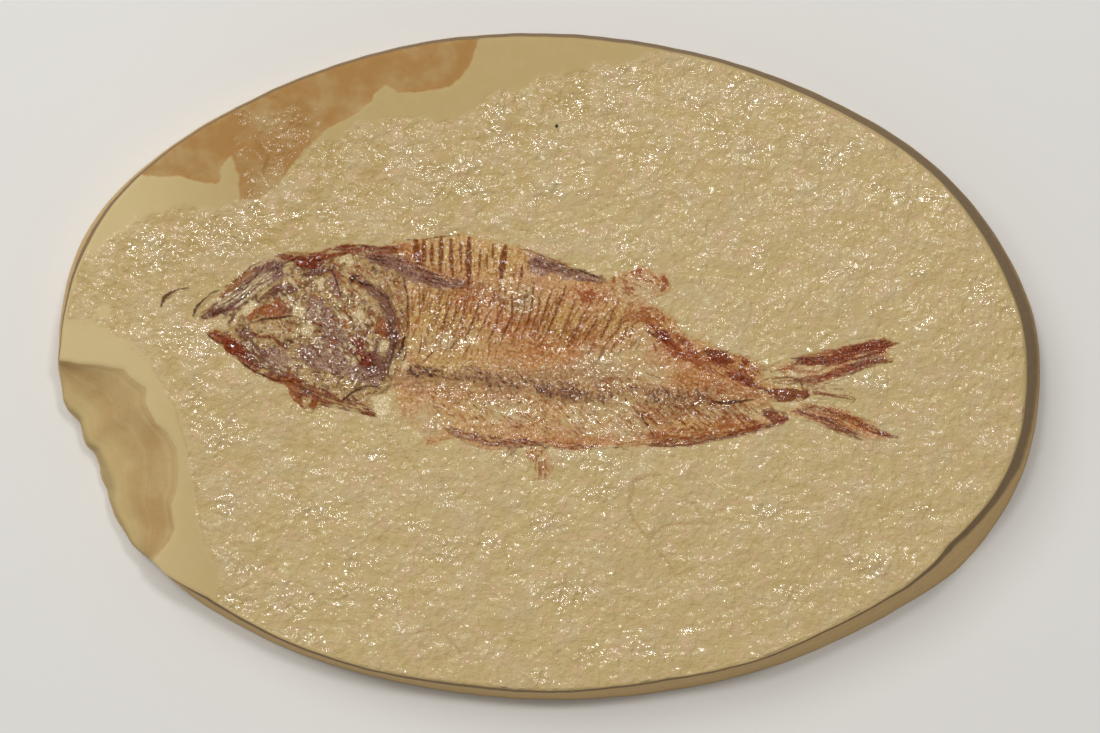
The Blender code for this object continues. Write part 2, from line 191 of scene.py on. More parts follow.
AREAS = {
    "lilac": [
        [(262, 262), (276, 260), (286, 264), (284, 276), (274, 284), (262, 286), (252, 286), (250, 276)],
        [(310, 296), (322, 300), (332, 310), (340, 326), (346, 344), (348, 358), (344, 372), (330, 372),
         (312, 366), (298, 358), (300, 348), (318, 344), (322, 330), (312, 318), (306, 306)],
        [(344, 366), (360, 360), (378, 362), (388, 372), (380, 386), (362, 384), (348, 378)],
        [(330, 268), (338, 276), (342, 296), (336, 300), (330, 284)],
        [(256, 352), (272, 346), (286, 352), (292, 364), (280, 368), (266, 362)],
        [(366, 254), (380, 252), (398, 254), (412, 261), (426, 270), (442, 279), (462, 282), (463, 287),
         (440, 288), (418, 284), (402, 276), (386, 268), (370, 262)],
        [(528, 256), (540, 254), (553, 262), (571, 269), (587, 275), (602, 278), (598, 283), (582, 282),
         (564, 278), (550, 273), (541, 278), (532, 271)],
    ],
    "plum": [
        [(202, 314), (212, 307), (222, 302), (234, 294), (244, 284), (254, 271), (263, 264), (274, 262),
         (284, 263), (284, 272), (276, 281), (264, 288), (254, 297), (244, 304), (236, 312), (232, 324),
         (228, 326), (230, 314), (222, 315), (214, 318), (205, 317)],
        [(253, 301), (264, 293), (276, 287), (290, 284), (300, 285), (296, 291), (282, 295), (268, 299),
         (258, 304)],
        [(240, 332), (247, 327), (252, 334), (253, 343), (262, 351), (271, 361), (283, 367), (291, 370),
         (284, 376), (272, 375), (262, 371), (252, 364), (246, 352), (241, 342)],
        [(360, 352), (374, 350), (384, 357), (391, 368), (386, 380), (372, 377), (362, 366)],
        [(304, 262), (318, 266), (330, 270), (332, 274), (316, 275), (302, 272)],
    ],
    "maroon": [
        [(222, 337), (234, 340), (241, 348), (248, 356), (256, 364), (262, 374), (254, 371), (243, 364),
         (232, 354), (224, 346)],
        [(296, 257), (312, 255), (324, 259), (322, 266), (306, 268), (296, 264)],
        [(351, 340), (362, 339), (367, 348), (362, 356), (352, 353)],
        [(362, 356), (372, 353), (379, 359), (371, 366), (362, 364)],
        [(298, 382), (307, 385), (312, 392), (308, 400), (300, 394)],
        [(724, 370), (736, 372), (750, 378), (760, 386), (748, 388), (734, 382)],
        [(655, 331), (664, 330), (670, 338), (668, 346), (660, 340)],
        [(764, 390), (772, 387), (788, 388), (805, 388), (809, 393), (804, 400), (786, 402), (772, 397)],
        [(762, 410), (772, 409), (782, 415), (788, 418), (776, 422), (764, 418)],
        [(704, 350), (714, 351), (728, 354), (736, 360), (730, 366), (716, 361), (706, 356)],
    ],
    "rust": [
        [(244, 318), (250, 312), (262, 309), (270, 304), (280, 300), (287, 304), (288, 312), (280, 316),
         (266, 315), (256, 317), (248, 321)],
        [(207, 335), (214, 330), (226, 332), (238, 341), (246, 352), (240, 358), (230, 350), (218, 342)],
        [(262, 375), (276, 376), (288, 369), (294, 372), (297, 384), (302, 396), (307, 411), (300, 406),
         (293, 394), (284, 385), (272, 381)],
        [(311, 398), (317, 395), (320, 401), (314, 412), (310, 410)],
        [(376, 321), (384, 319), (390, 325), (390, 338), (382, 340), (376, 333)],
        [(579, 291), (592, 290), (598, 300), (590, 305), (580, 300)],
        [(742, 358), (750, 359), (748, 366), (740, 366)],
        [(662, 338), (676, 342), (690, 352), (706, 362), (702, 368), (684, 360), (668, 350)],
    ],
    "pale": [
        [(289, 303), (299, 301), (307, 306), (307, 314), (300, 319), (291, 315)],
        [(300, 326), (310, 322), (315, 329), (311, 336), (302, 334)],
        [(338, 257), (350, 256), (352, 262), (341, 264)],
        [(351, 309), (362, 308), (366, 318), (356, 323)],
        [(378, 340), (387, 343), (388, 352), (380, 352)],
        [(371, 396), (386, 394), (391, 412), (376, 419)],
        [(242, 306), (254, 300), (259, 304), (251, 313), (242, 317)],
        [(315, 280), (323, 278), (326, 288), (318, 292)],
        [(400, 361), (407, 361), (408, 368), (401, 368)],
    ],
}
LINES = {
    "rib": [
        (2.0, [(432, 243), (432, 264)]), (2.8, [(441, 238), (441, 254), (440, 270)]),
        (2.2, [(451, 240), (451, 257), (453, 276)]), (3.0, [(469, 238), (468, 260), (469, 284)]),
        (3.4, [(416, 241), (417, 254), (419, 268)]), (2.4, [(424, 240), (424, 264)]),
        (1.4, [(460, 242), (461, 264)]), (1.0, [(480, 250), (480, 268)]),
        (1.2, [(487, 254), (487, 268)]), (1.2, [(493, 244), (493, 258)]),
        (3.4, [(505, 246), (503, 260), (501, 278)]), (1.8, [(522, 267), (521, 279)]),
        (1.2, [(404, 276), (408, 301), (407, 330)]), (0.8, [(419, 284), (420, 314)]),
        (0.9, [(424, 286), (423, 309)]), (0.9, [(440, 286), (439, 301)]), (0.7, [(412, 290), (412, 316)]),
        (0.8, [(444, 304), (434, 320)]), (1.2, [(451, 302), (448, 312), (442, 328)]),
        (0.8, [(458, 300), (455, 316), (448, 330)]), (1.0, [(466, 292), (464, 312), (458, 326)]),
        (1.3, [(481, 298), (474, 318), (465, 341)]), (0.8, [(474, 296), (470, 312)]),
        (1.0, [(488, 312), (484, 324), (479, 333)]), (1.2, [(499, 312), (496, 326), (488, 341)]),
        (0.9, [(505, 290), (503, 306), (497, 320)]), (1.3, [(512, 294), (512, 316), (501, 340)]),
        (1.0, [(519, 296), (516, 314), (508, 334)]), (0.9, [(526, 290), (524, 310), (515, 334)]),
        (1.3, [(534, 282), (531, 311), (521, 340)]), (0.9, [(541, 292), (538, 310), (529, 336)]),
        (1.2, [(552, 289), (543, 316), (534, 338)]), (0.8, [(558, 292), (550, 312), (541, 336)]),
        (1.3, [(566, 286), (559, 304), (551, 324), (543, 340)]), (1.0, [(576, 300), (567, 323), (558, 341)]),
        (1.2, [(584, 312), (577, 330), (568, 346)]), (1.2, [(598, 316), (591, 329), (583, 343)]),
        (1.2, [(613, 311), (607, 326), (599, 342)]), (1.0, [(623, 317), (616, 333)]),
        (1.0, [(633, 325), (630, 338)]), (0.8, [(422, 340), (419, 354)]),
        (1.0, [(438, 347), (431, 354), (424, 361)]), (0.8, [(457, 338), (451, 349)]),
        (0.8, [(432, 322), (427, 338)]), (0.7, [(470, 344), (462, 358)]), (0.7, [(606, 348), (598, 360)]),
    ],
    "ink": [
        (1.6, [(404, 337), (401, 350), (395, 359)]), (0.8, [(408, 352), (403, 360)]),
        (1.1, [(255, 322), (263, 319), (276, 318), (292, 316)]),
        (2.4, [(290, 341), (293, 342)]), (0.8, [(332, 270), (337, 282), (341, 298)]),
        (2.2, [(352, 281), (353, 277), (358, 276)]), (1.4, [(358, 282), (366, 284), (372, 286)]),
        (0.8, [(227, 287), (238, 279), (252, 266), (262, 261), (265, 257)]),
        (1.5, [(193, 316), (197, 306), (206, 298)]), (0.8, [(206, 298), (212, 293), (220, 290)]),
        (1.9, [(161, 306), (164, 298), (175, 290)]), (0.8, [(175, 290), (188, 288)]),
        (1.3, [(341, 402), (354, 391), (366, 386)]), (0.8, [(366, 386), (382, 387)]),
        (1.4, [(712, 401), (720, 403), (736, 402), (753, 399)]), (0.8, [(755, 387), (768, 391)]),
        (0.8, [(300, 275), (312, 272), (330, 271)]), (0.9, [(252, 330), (244, 328), (240, 336)]),
        (0.7, [(243, 363), (258, 373), (276, 380), (291, 381)]),
        (0.7, [(392, 240), (410, 240), (426, 239), (444, 236), (462, 234)]),
        (0.7, [(519, 249), (530, 250), (545, 257)]), (1.0, [(575, 268), (590, 275), (601, 278)]),
        (0.7, [(520, 375), (526, 382), (534, 380)]), (0.9, [(738, 439), (750, 438)]),
        (0.7, [(632, 406), (640, 415), (648, 426), (656, 440)]),
    ],
    "maroon": [
        (1.7, [(252, 333), (262, 337), (272, 336), (280, 344), (288, 349)]),
        (1.3, [(307, 319), (313, 323), (325, 326)]), (2.2, [(362, 413), (368, 414), (376, 416)]),
        (1.6, [(650, 446), (670, 446), (690, 445), (712, 440), (743, 434), (769, 427), (786, 420)]),
        (0.9, [(727, 407), (740, 420), (751, 431)]), (1.2, [(800, 379), (803, 390)]),
        (0.9, [(775, 378), (798, 377)]), (1.2, [(880, 350), (888, 346), (898, 343)]),
        (0.9, [(812, 394), (826, 394), (838, 397), (852, 399)]),
        (0.8, [(790, 412), (806, 409), (816, 406)]), (1.0, [(868, 430), (880, 434), (896, 438)]),
    ],
    # Painted highlights: the two pale streaks on the upper jaw blade stand in for glints along its ridges
    "pale": [
        (2.0, [(226, 304), (238, 297), (252, 286), (264, 278)]),
        (1.7, [(236, 306), (248, 298), (260, 288), (272, 280)]),
    ],
    "plum": [
        (4.4, [(362, 284), (372, 288), (381, 296), (387, 306), (391, 318), (393, 331), (393, 343),
               (391, 354), (388, 362)]),
    ],
    "rust": [
        (2.6, [(636, 272), (641, 270)]), (3.0, [(663, 277), (666, 283), (662, 290)]),
        (1.4, [(775, 371), (786, 369), (797, 368)]), (1.6, [(345, 304), (344, 320), (348, 336)]),
        (1.0, [(509, 276), (513, 274), (514, 280)]), (1.4, [(654, 343), (656, 352)]),
        (0.9, [(641, 309), (654, 309)]),
    ],
}

# Guide lines that strokes of two kinds follow
NAPE = [(368, 258), (394, 262), (416, 272), (440, 282), (466, 285)]
GILL_EDGE = [(362, 284), (382, 296), (391, 318), (393, 343), (386, 366)]
BEADS = [(534, 388), (570, 392), (614, 396)]
BACKBONE_EDGE = [(534, 390), (570, 393), (640, 397), (704, 396)]
BACK_RIDGE = [(530, 262), (552, 266), (576, 273), (602, 280)]
LOOSE_RAY = [(812, 388), (830, 391), (852, 395)]

# Fine strokes strewn along guide lines: kind, guide, half width of the band, how many strokes, their
# length and half width, and how far they turn from the guide in degrees
STREWN = [
    ("plum", [(205, 314), (224, 304), (242, 290), (258, 274), (282, 264)], 7, 70, 20, 0.8, 0),
    ("ink", [(208, 315), (228, 304), (246, 290), (262, 276), (280, 266)], 6, 16, 26, 0.5, 0),
    # Painted highlights: pale strokes along the jaw blade's ridges, standing in for glints
    ("pale", [(222, 305), (244, 289), (268, 272)], 5, 26, 20, 0.8, 0),
    ("lilac", [(212, 312), (232, 300), (248, 284), (264, 272), (280, 264)], 7, 60, 24, 1.1, 0),
    ("rust", [(214, 312), (236, 298), (256, 282), (276, 270)], 7, 26, 18, 0.6, 0),
    ("rust", [(222, 296), (236, 284), (250, 272)], 4, 40, 12, 0.8, 0),
    ("rust", [(246, 317), (262, 311), (284, 305)], 5, 26, 12, 0.8, 0),
    ("maroon", [(209, 334), (226, 342), (242, 356), (256, 370)], 5, 46, 12, 0.9, 0),
    ("plum", [(242, 334), (252, 348), (266, 362), (288, 370)], 6, 40, 12, 0.9, 0),
    ("pale", [(244, 340), (256, 352), (270, 364), (286, 372)], 5, 16, 7, 0.6, 0),
    ("maroon", [(278, 255), (296, 259), (318, 257), (336, 250), (366, 249), (396, 250)], 4, 80, 14, 1.0, 0),
    ("rust", [(284, 256), (310, 258), (340, 252), (370, 252), (404, 248)], 6, 50, 12, 0.8, 0),
    ("plum", [(290, 264), (312, 268), (330, 270)], 5, 24, 12, 0.8, 0),
    ("plum", NAPE, 7, 110, 16, 0.7, 0),
    ("ink", NAPE, 5, 22, 14, 0.5, 0),
    ("rust", [(368, 254), (394, 256), (416, 262), (440, 272)], 6, 30, 14, 0.7, 0),
    ("plum", GILL_EDGE, 6, 60, 18, 0.8, 0),
    ("ink", GILL_EDGE, 5, 16, 20, 0.5, 0),
    ("rust", [(384, 270), (398, 292), (403, 318), (402, 344)], 8, 34, 16, 0.6, 0),
    ("rust", [(300, 262), (330, 268), (352, 272), (372, 280)], 9, 40, 8, 1.0, 20),
    ("plum", [(300, 350), (330, 350), (360, 362), (386, 372)], 22, 60, 6, 0.9, 35),
    ("lilac", [(300, 330), (330, 334), (360, 352), (384, 372)], 30, 46, 7, 1.2, 40),
    ("rust", [(270, 300), (300, 310), (340, 316), (376, 330)], 40, 54, 7, 1.2, 20),
    ("plum", [(290, 290), (320, 310), (350, 330), (372, 352)], 34, 46, 9, 0.9, 75),
    ("pale", [(280, 290), (310, 310), (346, 330), (372, 350)], 38, 44, 5, 1.6, 20),
    ("ink", [(270, 330), (310, 330), (350, 344), (386, 366)], 36, 46, 5, 0.6, 30),
    ("maroon", [(294, 380), (312, 392), (330, 401), (352, 404), (372, 414)], 7, 90, 10, 0.8, 0),
    ("maroon", [(298, 384), (310, 392), (330, 398)], 8, 24, 5, 0.8, 60),
    ("rust", [(268, 378), (290, 380), (300, 398)], 5, 24, 12, 0.8, 0),
    ("rust", [(406, 262), (430, 262), (470, 264), (540, 270)], 18, 46, 14, 0.6, 88),
    ("rib", [(412, 300), (440, 310), (480, 312)], 26, 46, 12, 0.5, 96),
    ("rust", [(410, 318), (450, 322), (500, 322), (545, 325)], 34, 110, 14, 0.6, 100),
    ("rust", [(545, 315), (580, 318), (640, 330)], 30, 110, 14, 0.6, 114),
    ("rib", [(490, 310), (545, 318), (640, 336)], 30, 70, 12, 0.5, 112),
    ("plum", [(470, 288), (500, 294), (540, 296)], 12, 40, 7, 0.6, 92),
    ("plum", [(404, 372), (440, 371), (480, 374), (510, 384)], 7, 58, 6, 0.8, 20),
    ("ink", [(404, 374), (440, 373), (480, 378), (520, 386)], 7, 28, 5, 0.6, 30),
    ("plum", BEADS, 9, 34, 6, 1.0, 75),
    ("plum", BEADS, 9, 34, 6, 1.0, 20),
    ("ink", BACKBONE_EDGE, 6, 34, 5, 0.6, 84),
    ("ink", BACKBONE_EDGE, 8, 28, 4, 0.6, 30),
    ("plum", [(620, 390), (660, 394), (712, 396)], 7, 46, 5, 0.7, 80),
    ("plum", BACK_RIDGE, 7, 50, 14, 0.8, 0),
    ("ink", BACK_RIDGE, 5, 14, 12, 0.5, 0),
    ("plum", [(538, 389), (556, 391), (580, 392)], 6, 40, 6, 1.0, 50),
    ("ink", [(408, 372), (424, 371), (436, 373)], 6, 26, 5, 0.7, 40),
    ("rust", [(600, 384), (660, 386), (720, 390), (760, 392)], 12, 90, 8, 0.6, 20),
    ("rust", [(640, 318), (670, 340), (700, 358), (740, 376), (764, 388)], 10, 90, 14, 0.8, 0),
    ("maroon", [(644, 328), (672, 342), (706, 360), (740, 378), (764, 388)], 9, 36, 10, 0.8, 0),
    ("plum", [(648, 331), (668, 337)], 4, 16, 6, 0.8, 0),
    ("maroon", [(704, 350), (730, 360), (756, 376)], 9, 32, 8, 0.8, 10),
    ("rust", [(430, 400), (520, 412), (600, 418), (650, 418)], 18, 150, 7, 0.5, 32),
    ("ink", [(430, 404), (520, 414), (600, 420), (650, 422)], 16, 50, 5, 0.4, 36),
    ("rust", [(640, 414), (690, 414), (750, 414)], 16, 110, 14, 0.6, 38),
    ("maroon", [(640, 418), (690, 416), (756, 412)], 14, 46, 12, 0.6, 38),
    ("rust", [(650, 436), (700, 432), (760, 424)], 6, 60, 14, 0.8, 0),
    ("maroon", [(644, 443), (690, 442), (740, 434), (786, 420)], 4, 70, 14, 0.8, 0),
    ("plum", [(446, 428), (470, 438), (500, 442), (542, 444)], 5, 60, 12, 0.7, 0),
    ("maroon", [(460, 434), (500, 441), (560, 446), (630, 447)], 4, 50, 12, 0.6, 0),
    ("rust", [(530, 444), (540, 460), (545, 478)], 9, 18, 9, 0.8, 20),
    ("rust", [(612, 284), (636, 284), (664, 284)], 12, 34, 6, 1.0, 30),
    ("rust", [(640, 312), (664, 318)], 7, 20, 6, 1.0, 20),
    ("maroon", [(764, 393), (786, 394), (808, 393)], 5, 30, 8, 0.8, 0),
    ("rust", [(764, 368), (782, 368), (800, 366)], 5, 16, 10, 0.6, 0),
    ("rust", [(764, 380), (784, 382), (800, 378)], 5, 12, 8, 0.5, 0),
    ("maroon", [(798, 361), (820, 361), (842, 355), (862, 348), (884, 343)], 5, 90, 20, 0.9, 0),
    ("rust", [(806, 360), (840, 357), (866, 352), (884, 346)], 9, 110, 18, 0.9, 0),
    ("plum", [(798, 360), (816, 361), (838, 359)], 4, 22, 12, 0.8, 0),
    ("maroon", [(838, 358), (860, 352), (886, 345)], 7, 50, 16, 0.8, 0),
    ("maroon", [(798, 380), (818, 379), (840, 373), (856, 367), (886, 361)], 4, 76, 18, 0.8, 0),
    ("plum", [(852, 366), (868, 360), (882, 358)], 4, 30, 10, 0.8, 0),
    ("rust", [(800, 374), (830, 372), (852, 366)], 5, 26, 12, 0.6, 0),
    ("maroon", LOOSE_RAY, 6, 14, 18, 0.5, 4),
    ("rust", LOOSE_RAY, 7, 12, 18, 0.5, 4),
    ("plum", [(796, 413), (814, 417), (832, 424), (854, 435)], 4, 22, 16, 0.7, 0),
    ("maroon", [(796, 412), (816, 415), (840, 425), (856, 434)], 5, 26, 16, 0.6, 0),
    ("maroon", [(820, 408), (844, 416), (868, 427), (894, 437)], 3, 24, 18, 0.6, 0),
    ("rust", [(806, 406), (840, 414), (864, 426), (888, 436)], 7, 44, 18, 0.6, 0),
    ("plum", [(764, 412), (776, 414), (788, 419)], 5, 16, 8, 0.8, 0),
    ("plum", [(504, 450), (514, 454)], 4, 10, 4, 0.8, 20),
]

# Soft patches of tint on the fish: centre and radii
TINTS = {
    "orange": [
        (515, 322, 34, 28), (470, 298, 22, 24), (585, 296, 26, 14), (668, 350, 34, 18), (716, 364, 38, 16),
        (548, 350, 44, 20), (700, 378, 44, 22), (738, 376, 22, 14), (660, 280, 10, 10), (735, 428, 36, 9),
        (665, 434, 24, 10), (650, 320, 26, 12), (540, 465, 16, 16), (275, 310, 18, 10),
        (590, 345, 34, 20), (575, 440, 60, 8), (356, 292, 14, 10), (415, 252, 12, 12),
        (862, 350, 34, 10), (840, 378, 24, 7), (856, 424, 34, 8),
    ],
    "gold": [
        (440, 322, 48, 38), (472, 330, 26, 24), (450, 362, 34, 12), (560, 322, 34, 22), (680, 428, 44, 9),
        (400, 290, 10, 30), (500, 258, 34, 18), (440, 256, 34, 18), (620, 325, 26, 20), (366, 330, 20, 10),
    ],
    "brown": [
        (425, 374, 34, 9), (575, 393, 42, 9), (490, 382, 36, 8), (660, 392, 70, 9), (600, 376, 30, 18),
        (500, 380, 110, 14), (690, 402, 60, 14), (320, 340, 44, 34), (350, 372, 34, 16),
    ],
    "worn": [
        (445, 340, 44, 10), (600, 414, 44, 16), (628, 350, 30, 18), (502, 412, 34, 12), (725, 412, 28, 9),
        (600, 362, 26, 14), (425, 418, 30, 12), (618, 430, 44, 10), (780, 376, 16, 8), (330, 380, 30, 8),
        (640, 375, 30, 10), (756, 412, 14, 8), (520, 300, 16, 14), (300, 370, 20, 8),
        (820, 368, 16, 5), (866, 362, 14, 4), (815, 407, 20, 5), (850, 432, 16, 5), (796, 372, 16, 12),
        (612, 276, 14, 8), (640, 288, 26, 12), (538, 466, 18, 18), (432, 432, 12, 8), (880, 368, 14, 8),
    ],
}

# Where the varnish is roughest and glitters, and where the stone's colour gets painted sheen: centre and
# radii
GLITTER = [
    (572, 98, 15, 12), (630, 78, 20, 8), (604, 108, 18, 12), (648, 60, 9, 5), (700, 70, 18, 9),
    (736, 92, 16, 10), (706, 108, 14, 9), (742, 113, 11, 8), (757, 82, 14, 7), (783, 98, 11, 5),
    (716, 132, 11, 9), (762, 147, 14, 8), (796, 142, 17, 10), (832, 151, 30, 7), (515, 90, 12, 8),
    (500, 108, 16, 8), (502, 134, 20, 10), (538, 145, 16, 10), (440, 172, 42, 14), (458, 188, 30, 12),
    (428, 200, 22, 8), (576, 170, 13, 7), (580, 191, 15, 8), (546, 190, 20, 8), (402, 152, 17, 9),
    (440, 228, 30, 6), (660, 150, 18, 10), (886, 184, 16, 5), (911, 193, 15, 10), (896, 146, 9, 6),
    (945, 196, 11, 9), (840, 274, 15, 8), (920, 275, 11, 7), (980, 288, 18, 15), (1005, 308, 9, 9),
    (760, 256, 13, 11), (642, 256, 20, 8), (250, 207, 10, 8), (302, 215, 30, 10), (226, 236, 46, 18),
    (150, 250, 30, 18), (182, 336, 36, 14), (205, 348, 16, 14), (220, 432, 22, 13), (192, 400, 16, 14),
    (320, 511, 26, 11), (241, 562, 17, 12), (236, 602, 20, 14), (350, 561, 30, 14), (345, 590, 30, 12),
    (296, 604, 30, 18), (386, 602, 15, 14), (442, 546, 13, 12), (490, 545, 24, 5), (512, 561, 11, 8),
    (440, 482, 11, 9), (441, 500, 14, 10), (230, 504, 17, 12), (376, 456, 9, 7), (420, 522, 17, 14),
    (606, 491, 18, 12), (588, 462, 30, 11), (546, 521, 20, 13), (610, 575, 17, 9), (566, 592, 24, 12),
    (790, 591, 20, 13), (680, 633, 12, 7), (582, 655, 16, 9), (660, 656, 28, 9), (922, 511, 11, 8),
    (772, 511, 15, 9), (540, 681, 22, 7), (300, 640, 30, 12), (872, 566, 22, 10), (440, 334, 48, 22),
    (505, 292, 40, 20), (604, 402, 44, 26), (505, 412, 34, 16), (630, 422, 26, 14), (600, 362, 36, 18),
    (715, 352, 22, 10), (665, 443, 24, 6), (506, 456, 12, 7), (240, 292, 26, 14), (310, 262, 30, 7),
    (330, 330, 40, 40), (786, 392, 22, 8), (754, 370, 16, 9), (815, 340, 18, 8), (875, 386, 26, 7),
    (420, 348, 30, 12), (480, 396, 40, 9), (560, 438, 50, 8), (650, 330, 30, 12), (700, 402, 40, 10),
    (300, 290, 30, 18), (352, 378, 30, 14), (250, 352, 14, 10), (560, 340, 22, 12), (440, 420, 24, 8),
]
BACKBONE = [(400, 374), (480, 372), (541, 390), (612, 395), (660, 399), (717, 403), (768, 397), (812, 393)]

# Colours read from the photograph, in sRGB
PALE_STONE = (204, 185, 138)
STONE = (189, 166, 115)
GOLDEN_STONE = (174, 147, 92)
GREY_STONE = (190, 170, 132)
PINK_STONE = (196, 165, 126)
BARE_STONE = (178, 155, 106)
# Painted highlight: the colour of the painted sheen, which is also the light colour of the pale marks
PALE_AND_SHEEN = (226, 208, 172)
SHEET_TAN = (160, 120, 68)
CHIP_TAN = (171, 140, 92)
DEEP_TAN = (178, 152, 105)
# Painted shade: the dark brown of the wall's upper band
WALL_SHADE_BROWN = (136, 111, 77)
WALL_GOLD = (216, 183, 126)
FILM = (190, 143, 90)
FILM_GOLD = (190, 150, 84)
FILM_ORANGE = (175, 104, 48)
FILM_BROWN = (136, 98, 64)
FILM_PINK = (188, 137, 94)
RUST = (126, 54, 10)
RUST_PALE = (148, 78, 28)
MAROON = (138, 50, 16)
MAROON_DARK = (74, 22, 8)
LILAC = (160, 131, 118)
PLUM = (120, 76, 60)
PLUM_DARK = (70, 28, 14)
RIB = (134, 72, 22)
RIB_DARK = (96, 44, 8)
INK = (82, 34, 6)
INK_DARK = (54, 18, 4)
BONE_BROWN = (112, 72, 40)
BONE_TAN = (172, 138, 88)
DIRT = (30, 20, 22)
FLOOR_GREY = (216, 214, 209)
FLOOR_WHITE = (222, 220, 216)

# The kinds of mark, from the lowest to the topmost: light and dark colour, how strongly and how softly
# they cover what lies below, and where the mottling turns from the dark colour to the light one
KINDS = {
    "lilac": (LILAC, PLUM, 0.70, 1.4, 0.51),
    "rust": (RUST_PALE, RUST, 0.82, 0.9, 0.51),
    "plum": (PLUM, PLUM_DARK, 0.84, 1.0, 0.43),
    "maroon": (MAROON, MAROON_DARK, 0.82, 0.9, 0.51),
    # The pale marks are partly real pale bone and stone, partly painted highlights along the ridges of the
    # jaw blade
    "pale": (PALE_AND_SHEEN, STONE, 0.76, 1.2, 0.51),
    "rib": (RIB, RIB_DARK, 0.95, 1.0, 0.51),
    "ink": (INK, INK_DARK, 0.86, 0.7, 0.51),
}
MOTTLE = 0.11

# The tints of the film, from the lowest to the topmost: how much of each shows at most, and its colour
FILM_TINTS = [("gold", 1.0, FILM_GOLD), ("orange", 0.9, FILM_ORANGE), ("brown", 0.75, FILM_BROWN)]

# How deeply noise breaks into the areas of a kind and of every other kind, in pixels
TORN = {"plum": 5.5, "rust": 3.4}
TORN_ELSE = 2.4

# Fields: how far a distance is followed in pixels, the part of the photograph that holds the fish, the
# size of a noise's table, and how fast a soft spot fades
REACH = 9.0
FISH_LOW, FISH_HIGH = (140.0, 220.0), (920.0, 500.0)
NOISE_CELLS = 256
SPOT_FALL = 1.1

# Strokes: how thick a tip is against the middle, how far they bend and sway in degrees, and the seed of
# the first strewn row
STROKE_TIP = 0.45
STROKE_BEND = 12.0
STROKE_SWAY = 7.0
STREWN_SEED = 500

# Bumps that the shaders add to the stone and to its coat of varnish, and the lumps left on bare stone
STONE_BUMP = 0.26 * MM
COAT_BUMP = 0.36 * MM
BARE_LUMPS = 0.15

# The slab: cells of its face, rows down its wall and across its underside, how its traced edge is
# smoothed (steps and blur in degrees, window in steps), and how uneven its grinding is in pixels
GRID = (340, 230)
WALL_ROWS = (0.012, 0.05, 0.12, 0.22, 0.34, 0.46, 0.58, 0.70, 0.82, 0.93, 1.0)
UNDERSIDE_ROWS = (0.985, 0.6, 0.2)
EDGE_STEP = 0.5
EDGE_WINDOW = 16
EDGE_BLUR = 2.4
EDGE_GRIND = 0.35

# The rim of the face, where the varnish is worn and the stone rounded, and the bed below the fossil
RIM_WEAR = 0.8
RIM_ROUNDING = 0.10 * MM
BED_DEPTH = 0.40 * MM

# How far the fossil stands above the stone
FILM_RISE = 0.09 * MM
BACKBONE_RISE = 0.18 * MM
BACKBONE_HALF_WIDTH = 10.0
BONE_RISE = 0.16 * MM
BONE_LEAST = 0.03 * MM
RAY_RISE = 0.05 * MM

# A piece of the fossil: how far its grid and its skirt go past its outline, how its edge wavers and how
# deep it may lie under its neighbour, in pixels, then its depth
PATCH_MARGIN = 4.0
SKIRT = 1.6
PATCH_WAVER = 0.8
TUCK = -4.0
PATCH_DEPTH = 0.8 * MM


def linear(colour):
    """An sRGB colour, 0 to 255, as a linear colour with full alpha."""
    parts = [part / 255.0 for part in colour]
    return *(part / 12.92 if part < 0.04045 else ((part + 0.055) / 1.055) ** 2.4 for part in parts), 1.0


# Fields over the face, with distances and places in pixels


def smooth(low, high, value):
    """Smooth step from 0 at low to 1 at high."""
    share = np.clip((value - low) / (high - low), 0.0, 1.0)
    return share * share * (3.0 - 2.0 * share)


def value_noise(points, size, seed):
    """Smooth noise from -1 to 1 whose cells are size pixels wide."""
    table = np.random.default_rng(seed).uniform(-1.0, 1.0, (NOISE_CELLS, NOISE_CELLS))
    cell = points / size
    corner = np.floor(cell).astype(int)
    part = cell - corner
    part = part * part * part * (part * (part * 6.0 - 15.0) + 10.0)
    x0, y0 = corner[:, 0] % NOISE_CELLS, corner[:, 1] % NOISE_CELLS
    x1, y1 = (x0 + 1) % NOISE_CELLS, (y0 + 1) % NOISE_CELLS
    low = table[x0, y0] * (1 - part[:, 0]) + table[x1, y0] * part[:, 0]
    high = table[x0, y1] * (1 - part[:, 0]) + table[x1, y1] * part[:, 0]
    return low * (1 - part[:, 1]) + high * part[:, 1]


def fractal(points, size, seed, octaves=3):
    """Noise with finer and fainter copies of itself."""
    total, weight = np.zeros(len(points)), 0.0
    for octave in range(octaves):
        share = 0.5 ** octave
        total += share * value_noise(points, size * share, seed + octave)
        weight += share
    return total / weight


def lumps(points, size, height, seed):
    """Low relief of noise: lumps size pixels wide and up to height metres high."""
    return height * fractal(points, size, seed, 2)


def raised(field, height, low, high):
    """A height inside a mark, which fades as the distance to the mark's edge goes from low to high."""
    return height * (1.0 - smooth(low, high, field))


def segment_distance(points, start, end):
    """Distance of points to a segment, and how far along it each lies from 0 to 1."""
    along = end - start
    share = np.clip(((points - start) @ along) / max(along @ along, 1e-9), 0.0, 1.0)
    return np.hypot(*(points - start - share[:, None] * along).T), share


def line_distance(points, line):
    """Distance of points to an open line."""
    line = np.array(line, float)
    return np.min([segment_distance(points, a, b)[0] for a, b in zip(line, line[1:])], axis=0)


def signed_distance(points, outline):
    """Distance of points to a closed outline, negative inside."""
    outline = np.array(outline, float)
    nearest = np.full(len(points), np.inf)
    inside = np.zeros(len(points), bool)
    x, y = points.T
    for a, b in zip(outline, np.roll(outline, -1, axis=0)):
        nearest = np.minimum(nearest, segment_distance(points, a, b)[0])
        if a[1] != b[1]:
            crossed = (a[1] > y) != (b[1] > y)
            inside ^= crossed & (x < a[0] + (y - a[1]) * (b[0] - a[0]) / (b[1] - a[1]))
    return np.where(inside, -nearest, nearest)


